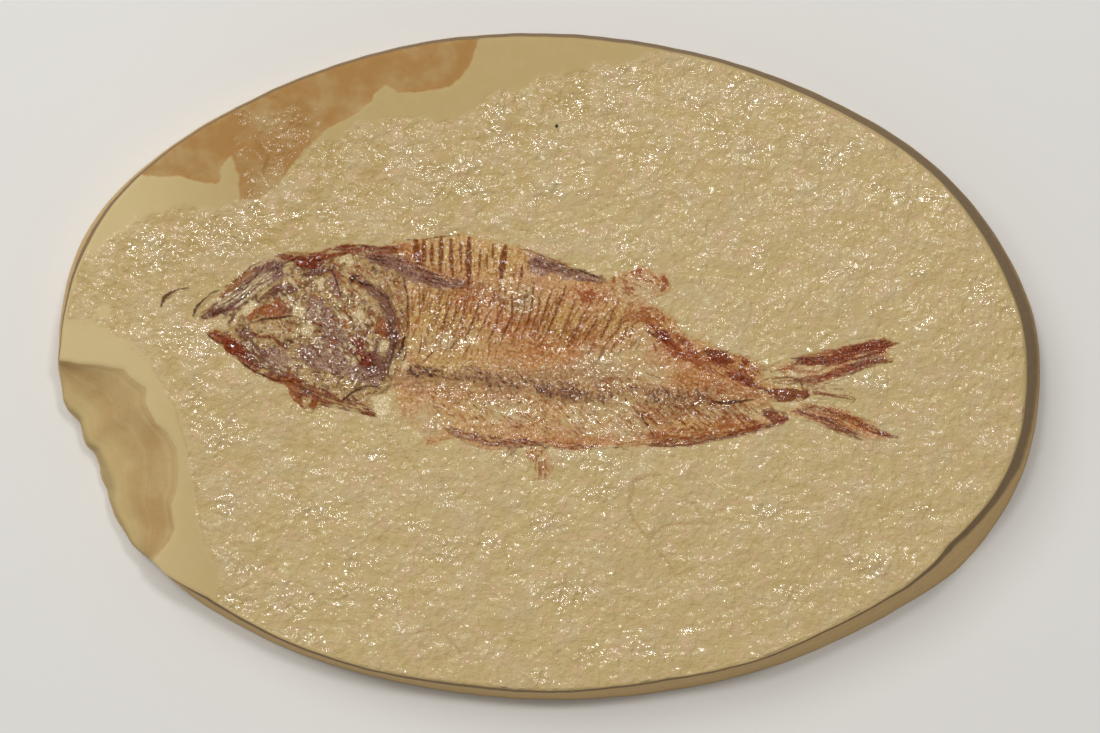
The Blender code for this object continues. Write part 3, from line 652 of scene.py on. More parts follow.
def stroke_field(points, strokes):
    """Signed distance to the nearest of many tapering strokes, cut off at REACH pixels."""
    field = np.full(len(points), REACH)
    order = np.argsort(points[:, 0])
    across = points[order, 0]
    for half_width, line in strokes:
        line = np.array(line, float)
        low, high = line.min(0) - REACH, line.max(0) + REACH
        near = order[np.searchsorted(across, low[0]):np.searchsorted(across, high[0])]
        near = near[(points[near, 1] > low[1]) & (points[near, 1] < high[1])]
        if not len(near):
            continue
        lengths = np.hypot(*np.diff(line, axis=0).T)
        whole, before = max(lengths.sum(), 1e-6), 0.0
        for a, b, length in zip(line, line[1:], lengths):
            away, share = segment_distance(points[near], a, b)
            place = np.clip((before + share * length) / whole, 0.03, 0.97)
            taper = STROKE_TIP + (1.0 - STROKE_TIP) * np.sin(math.pi * place) ** 0.6
            field[near] = np.minimum(field[near], away - half_width * taper)
            before += length
    return field


def area_field(points, outlines):
    """Signed distance to the nearest of several closed outlines, cut off at REACH pixels."""
    field = np.full(len(points), REACH)
    for outline in outlines:
        corners = np.array(outline, float)
        low, high = corners.min(0) - REACH, corners.max(0) + REACH
        near = np.nonzero(((points > low) & (points < high)).all(1))[0]
        if len(near):
            field[near] = np.minimum(field[near], signed_distance(points[near], outline))
    return field


def torn_area(points, outlines, depth, size, seed):
    """Signed distance to closed outlines whose edge is torn by noise, depth pixels deep."""
    return area_field(points, outlines) + depth * fractal(points, size, seed)


def strewn(guide, half_width, count, length, thickness, turn, seed):
    """Fine strokes strewn along a guide line, each turned from it by about the same angle."""
    random = np.random.default_rng(seed)
    guide = np.array(guide, float)
    reach = np.concatenate([[0.0], np.cumsum(np.hypot(*np.diff(guide, axis=0).T))])
    heading = np.degrees(np.arctan2(*np.gradient(guide, axis=0).T[::-1]))
    strokes = []
    for _ in range(count):
        place = random.uniform(0.0, reach[-1])
        along = math.radians(np.interp(place, reach, heading))
        thin = math.sqrt(max(0.05, math.sin(math.pi * (0.08 + 0.84 * place / reach[-1]))))
        offset = random.uniform(-1.0, 1.0) * half_width * thin
        centre = np.array([np.interp(place, reach, guide[:, 0]), np.interp(place, reach, guide[:, 1])])
        centre += offset * np.array([-math.sin(along), math.cos(along)])
        bend = math.radians(random.uniform(-STROKE_BEND, STROKE_BEND))
        tilt = along + math.radians(turn + random.uniform(-STROKE_SWAY, STROKE_SWAY))
        half = 0.5 * length * random.uniform(0.4, 1.3)
        first = half * np.array([math.cos(tilt - bend), math.sin(tilt - bend)])
        last = half * np.array([math.cos(tilt + bend), math.sin(tilt + bend)])
        strokes.append((thickness * random.uniform(0.6, 1.3), [centre - first, centre, centre + last]))
    return strokes


STROKES = {kind: list(lines) for kind, lines in LINES.items()}
for number, (mark_kind, *row) in enumerate(STREWN):
    STROKES.setdefault(mark_kind, []).extend(strewn(*row, STREWN_SEED + number))


def ragged(points, scale, size, seed):
    """Points moved about by noise, so that what is drawn on them gets a ragged edge."""
    shift = [scale * fractal(points, size, seed + 7 * axis) for axis in (0, 1)]
    return points + np.column_stack(shift)


def marks(points, kind):
    """Signed distance to every mark of one kind: areas with torn edges, and finer strokes."""
    field = np.full(len(points), REACH)
    if kind in AREAS:
        torn = area_field(ragged(points, 3.8, 9.0, 400), AREAS[kind])
        field = torn + TORN.get(kind, TORN_ELSE) * fractal(points, 5.0, 420)
    if kind in STROKES:
        field = np.minimum(field, stroke_field(ragged(points, 0.7, 5.0, 440), STROKES[kind]))
    return field


def soft_spots(points, spots):
    """Share from 0 to 1 of soft round patches, given as centres and radii."""
    share = np.zeros(len(points))
    for x, y, wide, high in spots:
        away = ((points[:, 0] - x) / wide) ** 2 + ((points[:, 1] - y) / high) ** 2
        share = np.maximum(share, np.exp(-SPOT_FALL * away))
    return share


def varnish(points):
    """Share of varnish on the face: 1 on the pitted face, 0 in the smooth zones."""
    bare = torn_area(points, BARE, 11.0, 26.0, 70)
    bare = np.minimum(bare, torn_area(points, [LEDGE_LINE], 9.0, 22.0, 73))
    patch = torn_area(points, [ROUGH_PATCH], 6.0, 14.0, 74)
    return np.maximum(smooth(-6.0, 8.9, bare), 0.5 * (1.0 - smooth(-6.0, 4.0, patch)))


def chip_fall(points):
    """How far the broken corner lies below the face, in metres."""
    outline = np.array(CHIP_CREST + CHIP_OUTSIDE, float)
    fall = np.zeros(len(points))
    near = np.nonzero(((points > outline.min(0)) & (points < outline.max(0))).all(1))[0]
    near = near[signed_distance(points[near], outline) < 0]
    if not len(near):
        return fall
    spots = points[near]
    to_crest = line_distance(spots, CHIP_CREST)
    edge = MIDDLE + (np.array(BROKEN_EDGE, float) - MIDDLE) * BASE_SPREAD
    share = to_crest / (to_crest + line_distance(spots, edge) + 1e-6)
    waver = CHIP_WAVER * fractal(spots, 44.0, 91) * np.sin(math.pi * share)
    share = np.clip(share + waver, 0.0, 1.0)
    steps = share * CHIP_TERRACES
    terrace = (np.floor(steps) + smooth(0.1, 0.9, steps - np.floor(steps))) / CHIP_TERRACES
    floor = share + CHIP_STEPPED * (terrace - share)
    slope = CHIP_FLOOR * floor + (1.0 - CHIP_FLOOR) * smooth(CHIP_BRINK, 1.0, share)
    whole = FACE - CHIP_FOOT
    lip = CHIP_LIP * (1.0 - (1.0 - share) ** 12)
    fall[near] = np.minimum(whole * slope + lip, whole)
    return fall


def face_height(points, shine):
    """Height of the bare stone face, in metres: smoother where it has no varnish."""
    height = FACE + lumps(points, 90.0, 0.09 * MM, 1)
    rough = BARE_LUMPS + (1.0 - BARE_LUMPS) * shine
    height += rough * (lumps(points, 38.0, 0.14 * MM, 11) + lumps(points, 17.0, 0.11 * MM, 21))
    dimples = np.abs(value_noise(points, 13.0, 31))
    height += shine * MM * (0.06 * (0.4 - dimples) + 0.02 * value_noise(points, 6.0, 35))
    height -= raised(torn_area(points, [SHEET], 1.2, 8.0, 41), SHEET_DEPTH, -4.0, 1.5)
    seen = smooth(330.0, 400.0, points[:, 1]) * (1.0 - smooth(520.0, 580.0, points[:, 1]))
    height -= raised(area_field(points, [LEDGE_LINE]), LEDGE_DEPTH, -6.0 + 4.5 * seen, 3.0)
    groove = stroke_field(points, IMPRINT)
    height -= raised(groove, 0.13 * MM, -1.5, 2.5)
    height += raised(np.abs(groove - 3.0), 0.03 * MM, 0.0, 4.0)
    height -= raised(stroke_field(points, CRACKS), 0.12 * MM, -1.0, 1.6)
    return height


# Nodes of the shaders


class Shader:
    """A short way to write a material's nodes. A colour is an sRGB triple or a node's output."""

    def __init__(self, name):
        self.material = bpy.data.materials.new(name)
        self.material.use_nodes = True
        self.tree = self.material.node_tree
        self.principled = self.tree.nodes["Principled BSDF"]
        self.place = self.tree.nodes.new("ShaderNodeTexCoord").outputs["Object"]

    def put(self, socket, value):
        """Link a socket, or set a number or a colour on it."""
        if isinstance(value, bpy.types.NodeSocket):
            self.tree.links.new(value, socket)
        elif isinstance(value, tuple):
            socket.default_value = linear(value)
        else:
            socket.default_value = value

    def join(self, operation, first, *others):
        """Numbers put together one after another by one operation."""
        for other in others:
            node = self.tree.nodes.new("ShaderNodeMath")
            node.operation = operation
            self.put(node.inputs[0], first)
            self.put(node.inputs[1], other)
            first = node.outputs[0]
        return first

    def add(self, *numbers):
        return self.join("ADD", *numbers)

    def times(self, *numbers):
        return self.join("MULTIPLY", *numbers)

    def swing(self, noise, *amounts):
        """A noise about zero, times some amounts."""
        return self.times(self.add(noise, -0.5), *amounts)

    def field(self, name):
        """A number painted on the mesh."""
        node = self.tree.nodes.new("ShaderNodeAttribute")
        node.attribute_name = name
        return node.outputs["Fac"]

    def torn(self, name, noise, depth):
        """A distance painted on the mesh, its edge torn by noise."""
        return self.add(self.field(name), self.swing(noise, depth))

    def noise(self, size, detail=3.0, roughness=0.55, distortion=0.0):
        """Noise from 0 to 1 whose features are size millimetres wide."""
        node = self.tree.nodes.new("ShaderNodeTexNoise")
        node.inputs["Scale"].default_value = 1.0 / (size * MM)
        node.inputs["Detail"].default_value = detail
        node.inputs["Roughness"].default_value = roughness
        node.inputs["Distortion"].default_value = distortion
        self.put(node.inputs["Vector"], self.place)
        return node.outputs["Fac"]

    def step(self, value, low, high, to_low=0.0, to_high=1.0):
        """Smooth step between two values."""
        node = self.tree.nodes.new("ShaderNodeMapRange")
        node.interpolation_type = "SMOOTHSTEP"
        self.put(node.inputs["Value"], value)
        self.put(node.inputs["From Min"], low)
        self.put(node.inputs["From Max"], high)
        self.put(node.inputs["To Min"], to_low)
        self.put(node.inputs["To Max"], to_high)
        return node.outputs["Result"]

    def mix(self, share, below, above):
        """Two colours mixed."""
        node = self.tree.nodes.new("ShaderNodeMix")
        node.data_type = "RGBA"
        self.put(node.inputs["Factor"], share)
        self.put(node.inputs[6], below)
        self.put(node.inputs[7], above)
        return node.outputs[2]

    def layers(self, colour, rows):
        """Colours laid over one another. Each row has a number, where the colour starts and is full as that
        number goes from low to high, how much of it shows at most, and the colour."""
        for number_shown, start, full, most, above in rows:
            colour = self.mix(self.step(number_shown, start, full, 0.0, most), colour, above)
        return colour

    def bump(self, height, distance, below=None):
        """A normal turned by a height, where a rise of 1 is distance metres."""
        node = self.tree.nodes.new("ShaderNodeBump")
        node.inputs["Strength"].default_value = 1.0
        node.inputs["Distance"].default_value = distance
        self.put(node.inputs["Height"], height)
        if below is not None:
            self.put(node.inputs["Normal"], below)
        return node.outputs["Normal"]


class FossilShader(Shader):
    """Stone, strata, film and bone in one material, laid out by the fields painted on each piece."""

    def __init__(self, name):
        super().__init__(name)
        self.middling, self.small = self.noise(3.4), self.noise(1.2, 3.0, 0.6)
        self.grain, self.speckle = self.noise(0.34, 3.0, 0.65), self.noise(0.24, 2.0, 0.6)
        self.shine, self.glitter, self.wall = self.field("varnish"), self.field("glitter"), self.field("wall")
        colour = self.stone()
        colour = self.broken_stone(colour)
        colour = self.film(colour)
        colour = self.head(colour)
        colour = self.marks(colour)
        self.put(self.principled.inputs["Base Color"], colour)
        self.coat()

    def stone(self):
        """Mottled stone, more golden towards the upper left, pale in the bare zones of the left end, with
        painted sheen in the glitter clusters.
        """
        parts = self.tree.nodes.new("ShaderNodeSeparateXYZ")
        self.put(parts.inputs[0], self.place)
        x, y = parts.outputs[0], parts.outputs[1]
        side = self.add(x, self.times(y, -1.3), self.swing(self.noise(16.0, 2.0), 0.05))
        colour = self.mix(self.step(side, -0.085, 0.01), GOLDEN_STONE, STONE)
        colour = self.layers(colour, [
            (self.middling, 0.40, 0.70, 0.70, GREY_STONE),
            (self.small, 0.48, 0.72, 0.55, PALE_STONE),
            (self.small, 0.46, 0.30, 0.35, GOLDEN_STONE),
            (self.noise(2.2, 3.0, 0.6), 0.50, 0.66, 0.65, PINK_STONE),
            (self.grain, 0.50, 0.34, 0.16, SHEET_TAN),
            (self.shine, 1.0, 0.0, 0.85, BARE_STONE),
        ])
        left_end = self.step(x, -0.036, -0.053, 0.0, 0.6)
        colour = self.mix(self.times(left_end, self.step(self.shine, 1.0, 0.3, 0.3, 1.0)), colour, PALE_STONE)
        # Painted highlight: in the glitter clusters the colour is lightened towards a pale sheen, standing in
        # for the varnish's glints
        glint = self.step(self.noise(0.5, 2.0, 0.6), 0.48, 0.66)
        painted_sheen = self.times(self.step(self.glitter, 0.25, 1.0), glint, self.times(self.shine, 0.25))
        return self.mix(painted_sheen, colour, PALE_AND_SHEEN)

    def broken_stone(self, colour):
        """The strata in the broken corner, the stone below the missing sheet, and the wall: dark brown
        painted shade near its top, golden below.
        """
        depth = self.torn("strata", self.middling, 0.16)
        lamina = self.tree.nodes.new("ShaderNodeTexNoise")
        lamina.noise_dimensions = "1D"
        lamina.inputs["Scale"].default_value = 2.6
        lamina.inputs["Detail"].default_value = 2.0
        self.put(lamina.inputs["W"], depth)
        seams = lamina.outputs["Fac"]
        floor = self.layers(self.mix(self.step(self.noise(7.0), 0.42, 0.62), CHIP_TAN, DEEP_TAN), [
            (seams, 0.50, 0.62, 0.16, PALE_STONE),
            (self.grain, 0.46, 0.34, 0.25, SHEET_TAN),
        ])
        colour = self.mix(self.step(depth, 0.10, 0.18), colour, floor)
        colour = self.mix(self.step(depth, 1.7, 3.2, 0.0, 0.85), colour, STONE)

        tan = self.mix(self.step(self.middling, 0.35, 0.75, 0.0, 0.7), SHEET_TAN, DEEP_TAN)
        sheet = self.torn("sheet", self.small, 6.0)
        colour = self.mix(self.step(sheet, -1.6, 1.2, 1.0, 0.0), colour, tan)

        # Painted shade: the wall is dark brown near the rim and turns golden lower down
        seam = self.step(self.add(self.wall, self.times(self.small, 0.12)), 0.36, 0.56)
        wall = self.layers(self.mix(seam, WALL_SHADE_BROWN, WALL_GOLD), [
            (self.small, 0.4, 0.8, 0.22, GOLDEN_STONE),
            (seams, 0.50, 0.62, 0.3, SHEET_TAN),
        ])
        return self.mix(self.step(self.wall, 0.004, 0.05), colour, wall)

    def film(self, colour):
        """The film of skin and scales, tinted in soft patches and worn through in others."""
        film = self.mix(self.step(self.middling, 0.40, 0.62), FILM, FILM_PINK)
        for tint, most, above in FILM_TINTS:
            film = self.mix(self.times(self.field(tint), most), film, above)
        film = self.layers(film, [
            (self.grain, 0.52, 0.66, 0.7, PALE_STONE),
            (self.grain, 0.48, 0.34, 0.5, RUST),
            (self.speckle, 0.55, 0.70, 0.55, PLUM_DARK),
        ])
        worn = self.times(self.field("worn"), self.step(self.small, 0.3, 0.6, 0.45, 0.9))
        film = self.mix(worn, film, colour)
        inside = self.step(self.torn("film", self.small, 9.0), -4.0, 2.5, 1.0, 0.0)
        return self.mix(self.times(inside, self.step(self.speckle, 0.30, 0.5, 0.80, 0.95)), colour, film)

    def head(self, colour):
        """Crushed bone, broken up into tan, lilac, pale and dark splinters."""
        crushed = self.mix(self.step(self.noise(0.9, 4.0, 0.65, 0.6), 0.38, 0.54), BONE_BROWN, BONE_TAN)
        crushed = self.layers(crushed, [
            (self.noise(1.1, 3.0, 0.7, 1.0), 0.56, 0.66, 0.5, LILAC),
            (self.noise(0.6, 3.0, 0.7, 0.8), 0.55, 0.66, 0.75, PALE_STONE),
            (self.noise(0.45, 3.0, 0.6, 1.0), 0.54, 0.64, 0.65, PLUM_DARK),
        ])
        inside = self.step(self.torn("head", self.small, 6.0), -2.5, 1.5, 1.0, 0.0)
        return self.mix(self.times(inside, 0.9), colour, crushed)

    def marks(self, colour):
        """Every kind of mark over the film, mottled between its two colours, then dirt and grooves."""
        for kind, (light, dark, strength, soft, even) in KINDS.items():
            tone = self.mix(self.step(self.speckle, even - MOTTLE, even + MOTTLE), dark, light)
            inside = self.step(self.torn(kind, self.grain, 1.6), -soft, soft, 1.0, 0.0)
            colour = self.mix(self.times(inside, strength), colour, tone)
        dirt = self.step(self.field("dirt"), -0.5, 0.6, 1.0, 0.0)
        colour = self.mix(self.times(dirt, self.step(self.wall, 0.3, 0.02)), colour, DIRT)
        return self.mix(self.step(self.field("groove"), -1.2, 1.6, 0.45, 0.0), colour, SHEET_TAN)

    def coat(self):
        """The varnish: a clear coat whose fine lumps glint, in patches, as in the photograph."""
        varnished = self.step(self.shine, 0.15, 0.85)
        patchy = self.add(self.glitter, self.swing(self.noise(2.4), 1.5))
        patchy = self.add(patchy, self.step(self.shine, 0.4, 1.0, -0.8, 0.0))
        inputs = self.principled.inputs
        self.put(inputs["Roughness"], self.step(varnished, 0.0, 1.0, 0.68, 0.42))
        self.put(inputs["Coat Weight"], self.times(varnished, self.step(patchy, 0.0, 0.85, 0.12, 0.9)))
        inputs["Coat Roughness"].default_value = 0.12
        inputs["Coat IOR"].default_value = 1.7
        inputs["Specular IOR Level"].default_value = 0.15

        rough = self.add(self.step(varnished, 0.0, 1.0, 0.08, 1.0), self.step(self.wall, 0.02, 0.2, 0.0, 0.3))
        lively = self.step(patchy, 0.0, 0.9, 0.40, 1.0)
        broad = self.add(self.swing(self.noise(1.5, 1.0, 0.5), rough, lively),
                         self.swing(self.noise(3.4, 1.0), rough))
        base = self.bump(broad, STONE_BUMP)
        grains = self.add(self.swing(self.noise(0.80, 0.0), rough, lively),
                          self.swing(self.noise(0.45, 0.0), rough, lively, 0.35))
        texture = self.add(grains, self.swing(self.noise(0.62, 2.0, 0.55), rough))
        self.put(inputs["Normal"], self.bump(texture, STONE_BUMP, base))
        self.put(inputs["Coat Normal"], self.bump(grains, COAT_BUMP, base))


# Pieces


def fossil_fields(points):
    """The fields of the fossil's marks and of the stains around it."""
    fields = {kind: np.full(len(points), REACH) for kind in (*KINDS, "film", "head")}
    fields.update({tint: np.zeros(len(points)) for tint in TINTS})
    near = np.nonzero(((points > FISH_LOW) & (points < FISH_HIGH)).all(1))[0]
    spots = points[near]
    for kind in KINDS:
        fields[kind][near] = marks(spots, kind)
    torn = ragged(spots, 3.0, 12.0, 460)
    fields["film"][near] = area_field(torn, FILM_AREAS)
    fields["head"][near] = area_field(torn, [HEAD])
    moved = ragged(spots, 9.0, 16.0, 470)
    for tint, places in TINTS.items():
        fields[tint][near] = soft_spots(moved, places)
    clustered = soft_spots(ragged(points, 14.0, 20.0, 480), GLITTER)
    fields["glitter"] = np.clip(clustered + 0.25 * fractal(points, 14.0, 490), 0.0, 1.0)
    fields["dirt"] = stroke_field(points, SPECKS)
    fields["groove"] = np.minimum(stroke_field(points, IMPRINT), stroke_field(points, CRACKS))
    return fields


def painted_mesh(name, points, heights, faces, fields):
    """A mesh over the face, from places in pixels and heights in metres, with its fields painted on."""
    flat = (points - MIDDLE) * PIXEL
    mesh = bpy.data.meshes.new(name)
    mesh.from_pydata(np.column_stack([flat[:, 0], -flat[:, 1], heights]).tolist(), [], faces)
    for field, values in fields.items():
        attribute = mesh.attributes.new(field, "FLOAT", "POINT")
        attribute.data.foreach_set("value", np.asarray(values, np.float32))
    return mesh


def add_piece(mesh, node, material):
    """Show a mesh, smoothly shaded, in place of its node."""
    mesh.materials.append(material)
    mesh.polygons.foreach_set("use_smooth", np.ones(len(mesh.polygons), bool))
    mesh.update()
    piece = bpy.data.objects.new(mesh.name, mesh)
    bpy.context.scene.collection.objects.link(piece)
    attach(piece, "root")
    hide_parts(node)


# The slab


def edge_reach(bearings):
    """Distance in pixels from the middle to the slab's base, smoothed where it is ground."""
    points = (np.array(GROUND_EDGE + BROKEN_EDGE, float) - MIDDLE) * BASE_SPREAD
    angles = np.degrees(np.arctan2(-points[:, 1], points[:, 0])) % 360.0
    order = np.argsort(angles)
    fine = np.arange(0.0, 360.0, EDGE_STEP)
    raw = np.interp(fine, angles[order], np.hypot(*points.T)[order], period=360.0)
    offsets = np.arange(-EDGE_WINDOW, EDGE_WINDOW + 1)
    weights = np.exp(-((offsets * EDGE_STEP) ** 2) / (2 * EDGE_BLUR ** 2))
    even = sum(w * np.roll(raw, k) for k, w in zip(offsets, weights)) / weights.sum()
    broken = smooth(174.0, 178.0, fine) * (1.0 - smooth(206.0, 211.0, fine))
    nick = 0.8 * np.sin(fine * 0.9) * np.sin(fine * 0.37 + 1.0)
    reach = even * (1.0 - broken) + raw * broken + nick * (0.3 + broken)
    return np.interp(bearings % 360.0, fine, reach, period=360.0)


def make_slab():
    """The whole slab: a fine face, its ground edge and its sawn underside."""
    columns, rows = GRID
    u, v = np.meshgrid(np.linspace(-1, 1, columns + 1), np.linspace(-1, 1, rows + 1))
    across = (u * np.sqrt(1 - v ** 2 / 2)).ravel()
    up = (v * np.sqrt(1 - u ** 2 / 2)).ravel()
    bearing = np.degrees(np.arctan2(up, across))
    direction = np.column_stack([np.cos(np.radians(bearing)), -np.sin(np.radians(bearing))])
    base = edge_reach(bearing)
    run = np.interp(bearing % 360.0, *np.array(EDGE_RUN).T, period=360.0) * MM / PIXEL
    # How soon the wall's painted shade turns golden, by bearing
    seam = np.interp(bearing % 360.0, *np.array(WALL_SHADE_SEAM).T, period=360.0)
    rim = base - run
    share = np.hypot(across, up)
    points = MIDDLE + direction * (share * rim)[:, None]
    to_rim = (share - 1.0) * rim
    shine = varnish(points) * (1.0 - RIM_WEAR * smooth(-3.5, -0.5, to_rim))
    fall = chip_fall(points)
    height = face_height(points, shine) - fall
    height -= raised(area_field(points, OUTLINES), BED_DEPTH, -6.0, -2.0)
    height -= RIM_ROUNDING * smooth(-3.0, 0.0, to_rim)

    index = np.arange(len(points)).reshape(rows + 1, columns + 1)
    quads = np.stack([index[:-1, :-1], index[:-1, 1:], index[1:, 1:], index[1:, :-1]], axis=-1)
    faces = quads.reshape(-1, 4).tolist()
    loop = np.concatenate([index[0, :-1], index[:-1, -1], index[-1, :0:-1], index[:0:-1, 0]])

    # Rings down the wall and across the underside: distance from the middle, height, and depth down the wall,
    # scaled round the slab for the painted shade of its upper band
    rings = []
    for row in WALL_ROWS:
        spots = np.column_stack([bearing[loop] * 3.0, np.full(len(loop), row * 40)])
        grind = EDGE_GRIND * value_noise(spots, 2.0, 5) * math.sin(math.pi * row)
        z = height[loop] * (1.0 - row)
        layer = np.maximum((FACE - z) / FACE, 0.0) * seam[loop]
        rings.append((rim[loop] + run[loop] * row + grind, z, layer))
    for row in UNDERSIDE_ROWS:
        rings.append((base[loop] * row, np.zeros(len(loop)), np.ones(len(loop))))
    previous, count = loop, len(points)
    for _ in rings:
        ring = np.arange(count, count + len(loop))
        faces += np.stack([previous, ring, np.roll(ring, -1), np.roll(previous, -1)], axis=-1).tolist()
        previous, count = ring, count + len(loop)
    faces.append(previous.tolist())

    flat = np.vstack([points] + [MIDDLE + direction[loop] * reach[:, None] for reach, _, _ in rings])
    fields = fossil_fields(flat)
    fields["strata"] = np.concatenate([fall] + [FACE - z for _, z, _ in rings]) / MM
    fields["wall"] = np.concatenate([np.zeros(len(points))] + [wall for _, _, wall in rings])
    fields["sheet"] = area_field(flat, [SHEET, ROUGH_PATCH])
    fields["varnish"] = np.concatenate([shine, np.zeros(count - len(points))])
    heights = np.concatenate([height] + [z for _, z, _ in rings])
    mesh = painted_mesh("limestone_slab", flat, heights, faces, fields)
    add_piece(mesh, "slab", FossilShader("varnished_limestone").material)


# The fossil, whose reliefs are in metres above the stone


def body_relief(points, fields):
    """Relief of the flank: a thin film over the backbone's beads and the ribs."""
    line = np.array(BACKBONE, float)
    below = points[:, 1] - np.interp(points[:, 0], line[:, 0], line[:, 1])
    off = (below + 3.0 * fractal(points, 20.0, 203, 2)) / BACKBONE_HALF_WIDTH
    beads = 0.7 + 0.3 * fractal(points, 9.0, 205, 2)
    relief = FILM_RISE + lumps(points, 5.0, 0.03 * MM, 201)
    relief += BACKBONE_RISE * np.maximum(0.0, 1.0 - off ** 2) * beads
    relief += raised(np.minimum(fields["ink"], fields["rib"]), 0.03 * MM, -0.8, 1.6)
    return relief + raised(fields["plum"], 0.06 * MM, -1.5, 1.5)


def bone_relief(points, fields):
    """Relief of crushed bone: plates, splinters and hollows."""
    relief = BONE_RISE + lumps(points, 11.0, 0.10 * MM, 211) + lumps(points, 4.0, 0.05 * MM, 215)
    relief += raised(fields["plum"], 0.10 * MM, -2.5, 1.5)
    relief += raised(fields["ink"], 0.06 * MM, -1.0, 1.5)
    relief += raised(fields["maroon"], 0.06 * MM, -1.0, 1.5)
    relief -= raised(fields["pale"], 0.10 * MM, -1.5, 1.5)
    return np.maximum(relief, BONE_LEAST)


def ridged_relief(direction, spacing, height):
    """A relief of uneven ridges that run along a direction in degrees."""
    normal = np.array([math.sin(math.radians(direction)), math.cos(math.radians(direction))])

    def relief(points, fields):
        across = points @ normal + 1.6 * fractal(points, 18.0, 221, 2)
        ridge = 0.5 + 0.5 * np.cos(across * 2.0 * math.pi / spacing)
        share = 0.55 + 0.45 * fractal(points, 12.0, 223, 2)
        marked = raised(np.minimum(fields["plum"], fields["maroon"]), 0.04 * MM, -1.0, 1.5)
        return RAY_RISE + height * ridge * share + marked + lumps(points, 4.0, 0.02 * MM, 225)
    return relief


# Each piece of the fossil: name, node, slot, outline, spacing of its points and relief. A piece lies on
# top of those after it where their outlines meet.
PATCHES = [
    ("jaw_blade", "upper_jaw", "plum_bone",
     [(198, 318), (200, 313), (213, 305), (228, 296), (238, 288), (247, 277), (254, 267), (263, 261),
      (274, 259), (285, 260), (288, 267), (281, 277), (272, 286), (264, 292), (256, 298), (248, 304),
      (240, 310), (234, 317), (233, 327), (228, 328), (227, 319), (219, 320), (206, 320)],
     0.7, ridged_relief(42.0, 5.6, 0.18 * MM)),
    ("jaw_wedge", "lower_jaw", "dark_bone",
     [(206, 335), (214, 329), (226, 331), (240, 327), (250, 326), (256, 336), (266, 346), (280, 356),
      (291, 366), (292, 374), (284, 380), (268, 379), (254, 373), (240, 364), (228, 352)],
     0.7, bone_relief),
    ("shoulder_arc", "shoulder_bone", "plum_bone",
     [(352, 286), (350, 279), (354, 274), (360, 274), (366, 280), (375, 284), (386, 293), (394, 306),
      (398, 320), (400, 336), (398, 352), (394, 364), (386, 368), (384, 360), (387, 348), (387, 330),
      (385, 316), (380, 306), (372, 296), (362, 289)],
     0.7, bone_relief),
    ("crushed_skull", "skull", "dark_bone",
     [(285, 266), (280, 256), (284, 251), (305, 253), (323, 250), (344, 245), (367, 244), (391, 244),
      (398, 256), (402, 275), (406, 300), (407, 330), (405, 352), (399, 372), (390, 388), (378, 396),
      (374, 404), (377, 417), (360, 414), (336, 409), (322, 407), (312, 414), (305, 413), (299, 406),
      (293, 393), (284, 384), (266, 380), (252, 374), (262, 372), (250, 350), (240, 328), (236, 322),
      (240, 311), (250, 303), (262, 295), (272, 287), (282, 278)],
     0.8, bone_relief),
    ("back_fin", "dorsal_fin", "fin_brown",
     [(616, 276), (622, 268), (641, 263), (652, 268), (662, 273), (671, 276), (672, 291), (657, 299),
      (638, 306), (624, 304)],
     0.8, ridged_relief(12.0, 5.0, 0.05 * MM)),
    ("belly_fin", "pelvic_fin", "fin_brown",
     [(522, 456), (528, 448), (545, 446), (551, 460), (557, 480), (528, 482), (531, 464)],
     0.8, ridged_relief(80.0, 4.0, 0.02 * MM)),
    ("tail_lobe_upper", "tail_fin_upper", "tail_brown",
     [(768, 366), (798, 356), (814, 354), (833, 346), (849, 342), (866, 338), (882, 335), (887, 341),
      (901, 339), (899, 352), (893, 363), (870, 368), (857, 373), (849, 379), (829, 384), (806, 386),
      (772, 384)],
     0.8, ridged_relief(14.0, 4.4, 0.07 * MM)),
    ("tail_middle_ray", "tail_ray", "tail_brown",
     [(812, 389), (829, 388), (856, 396), (855, 403), (829, 401), (812, 399)],
     0.8, ridged_relief(-8.0, 4.0, 0.08 * MM)),
    ("tail_lobe_lower", "tail_fin_lower", "tail_brown",
     [(788, 410), (806, 402), (823, 403), (843, 408), (868, 419), (882, 427), (900, 434), (898, 444),
      (872, 441), (855, 441), (838, 434), (823, 427), (806, 422), (792, 419)],
     0.8, ridged_relief(-22.0, 3.8, 0.06 * MM)),
    ("loose_splint", "stray_bone", "plum_bone",
     [(157, 308), (161, 296), (173, 287), (189, 284), (190, 291), (177, 294), (167, 301), (164, 309)],
     0.7, ridged_relief(40.0, 5.0, 0.10 * MM)),
    ("loose_sliver", "jaw_sliver", "plum_bone",
     [(189, 316), (194, 305), (206, 294), (221, 286), (223, 292), (210, 301), (201, 309), (196, 319)],
     0.7, ridged_relief(42.0, 5.0, 0.10 * MM)),
    ("pressed_flank", "body", "pressed_film", BODY, 0.9, body_relief),
]
OUTLINES = [entry[3] for entry in PATCHES]


def clean_cells(kept):
    """Drop cells that hang on by a corner, so that the sheet of cells has a simple edge."""
    for _ in range(4):
        a, b = kept[:-1, :-1], kept[1:, 1:]
        c, d = kept[1:, :-1], kept[:-1, 1:]
        kept[1:, :-1] |= a & b & ~c & ~d
        a, b = kept[:-1, :-1], kept[1:, 1:]
        c, d = kept[1:, :-1], kept[:-1, 1:]
        kept[:-1, :-1] |= c & d & ~a & ~b
    return kept


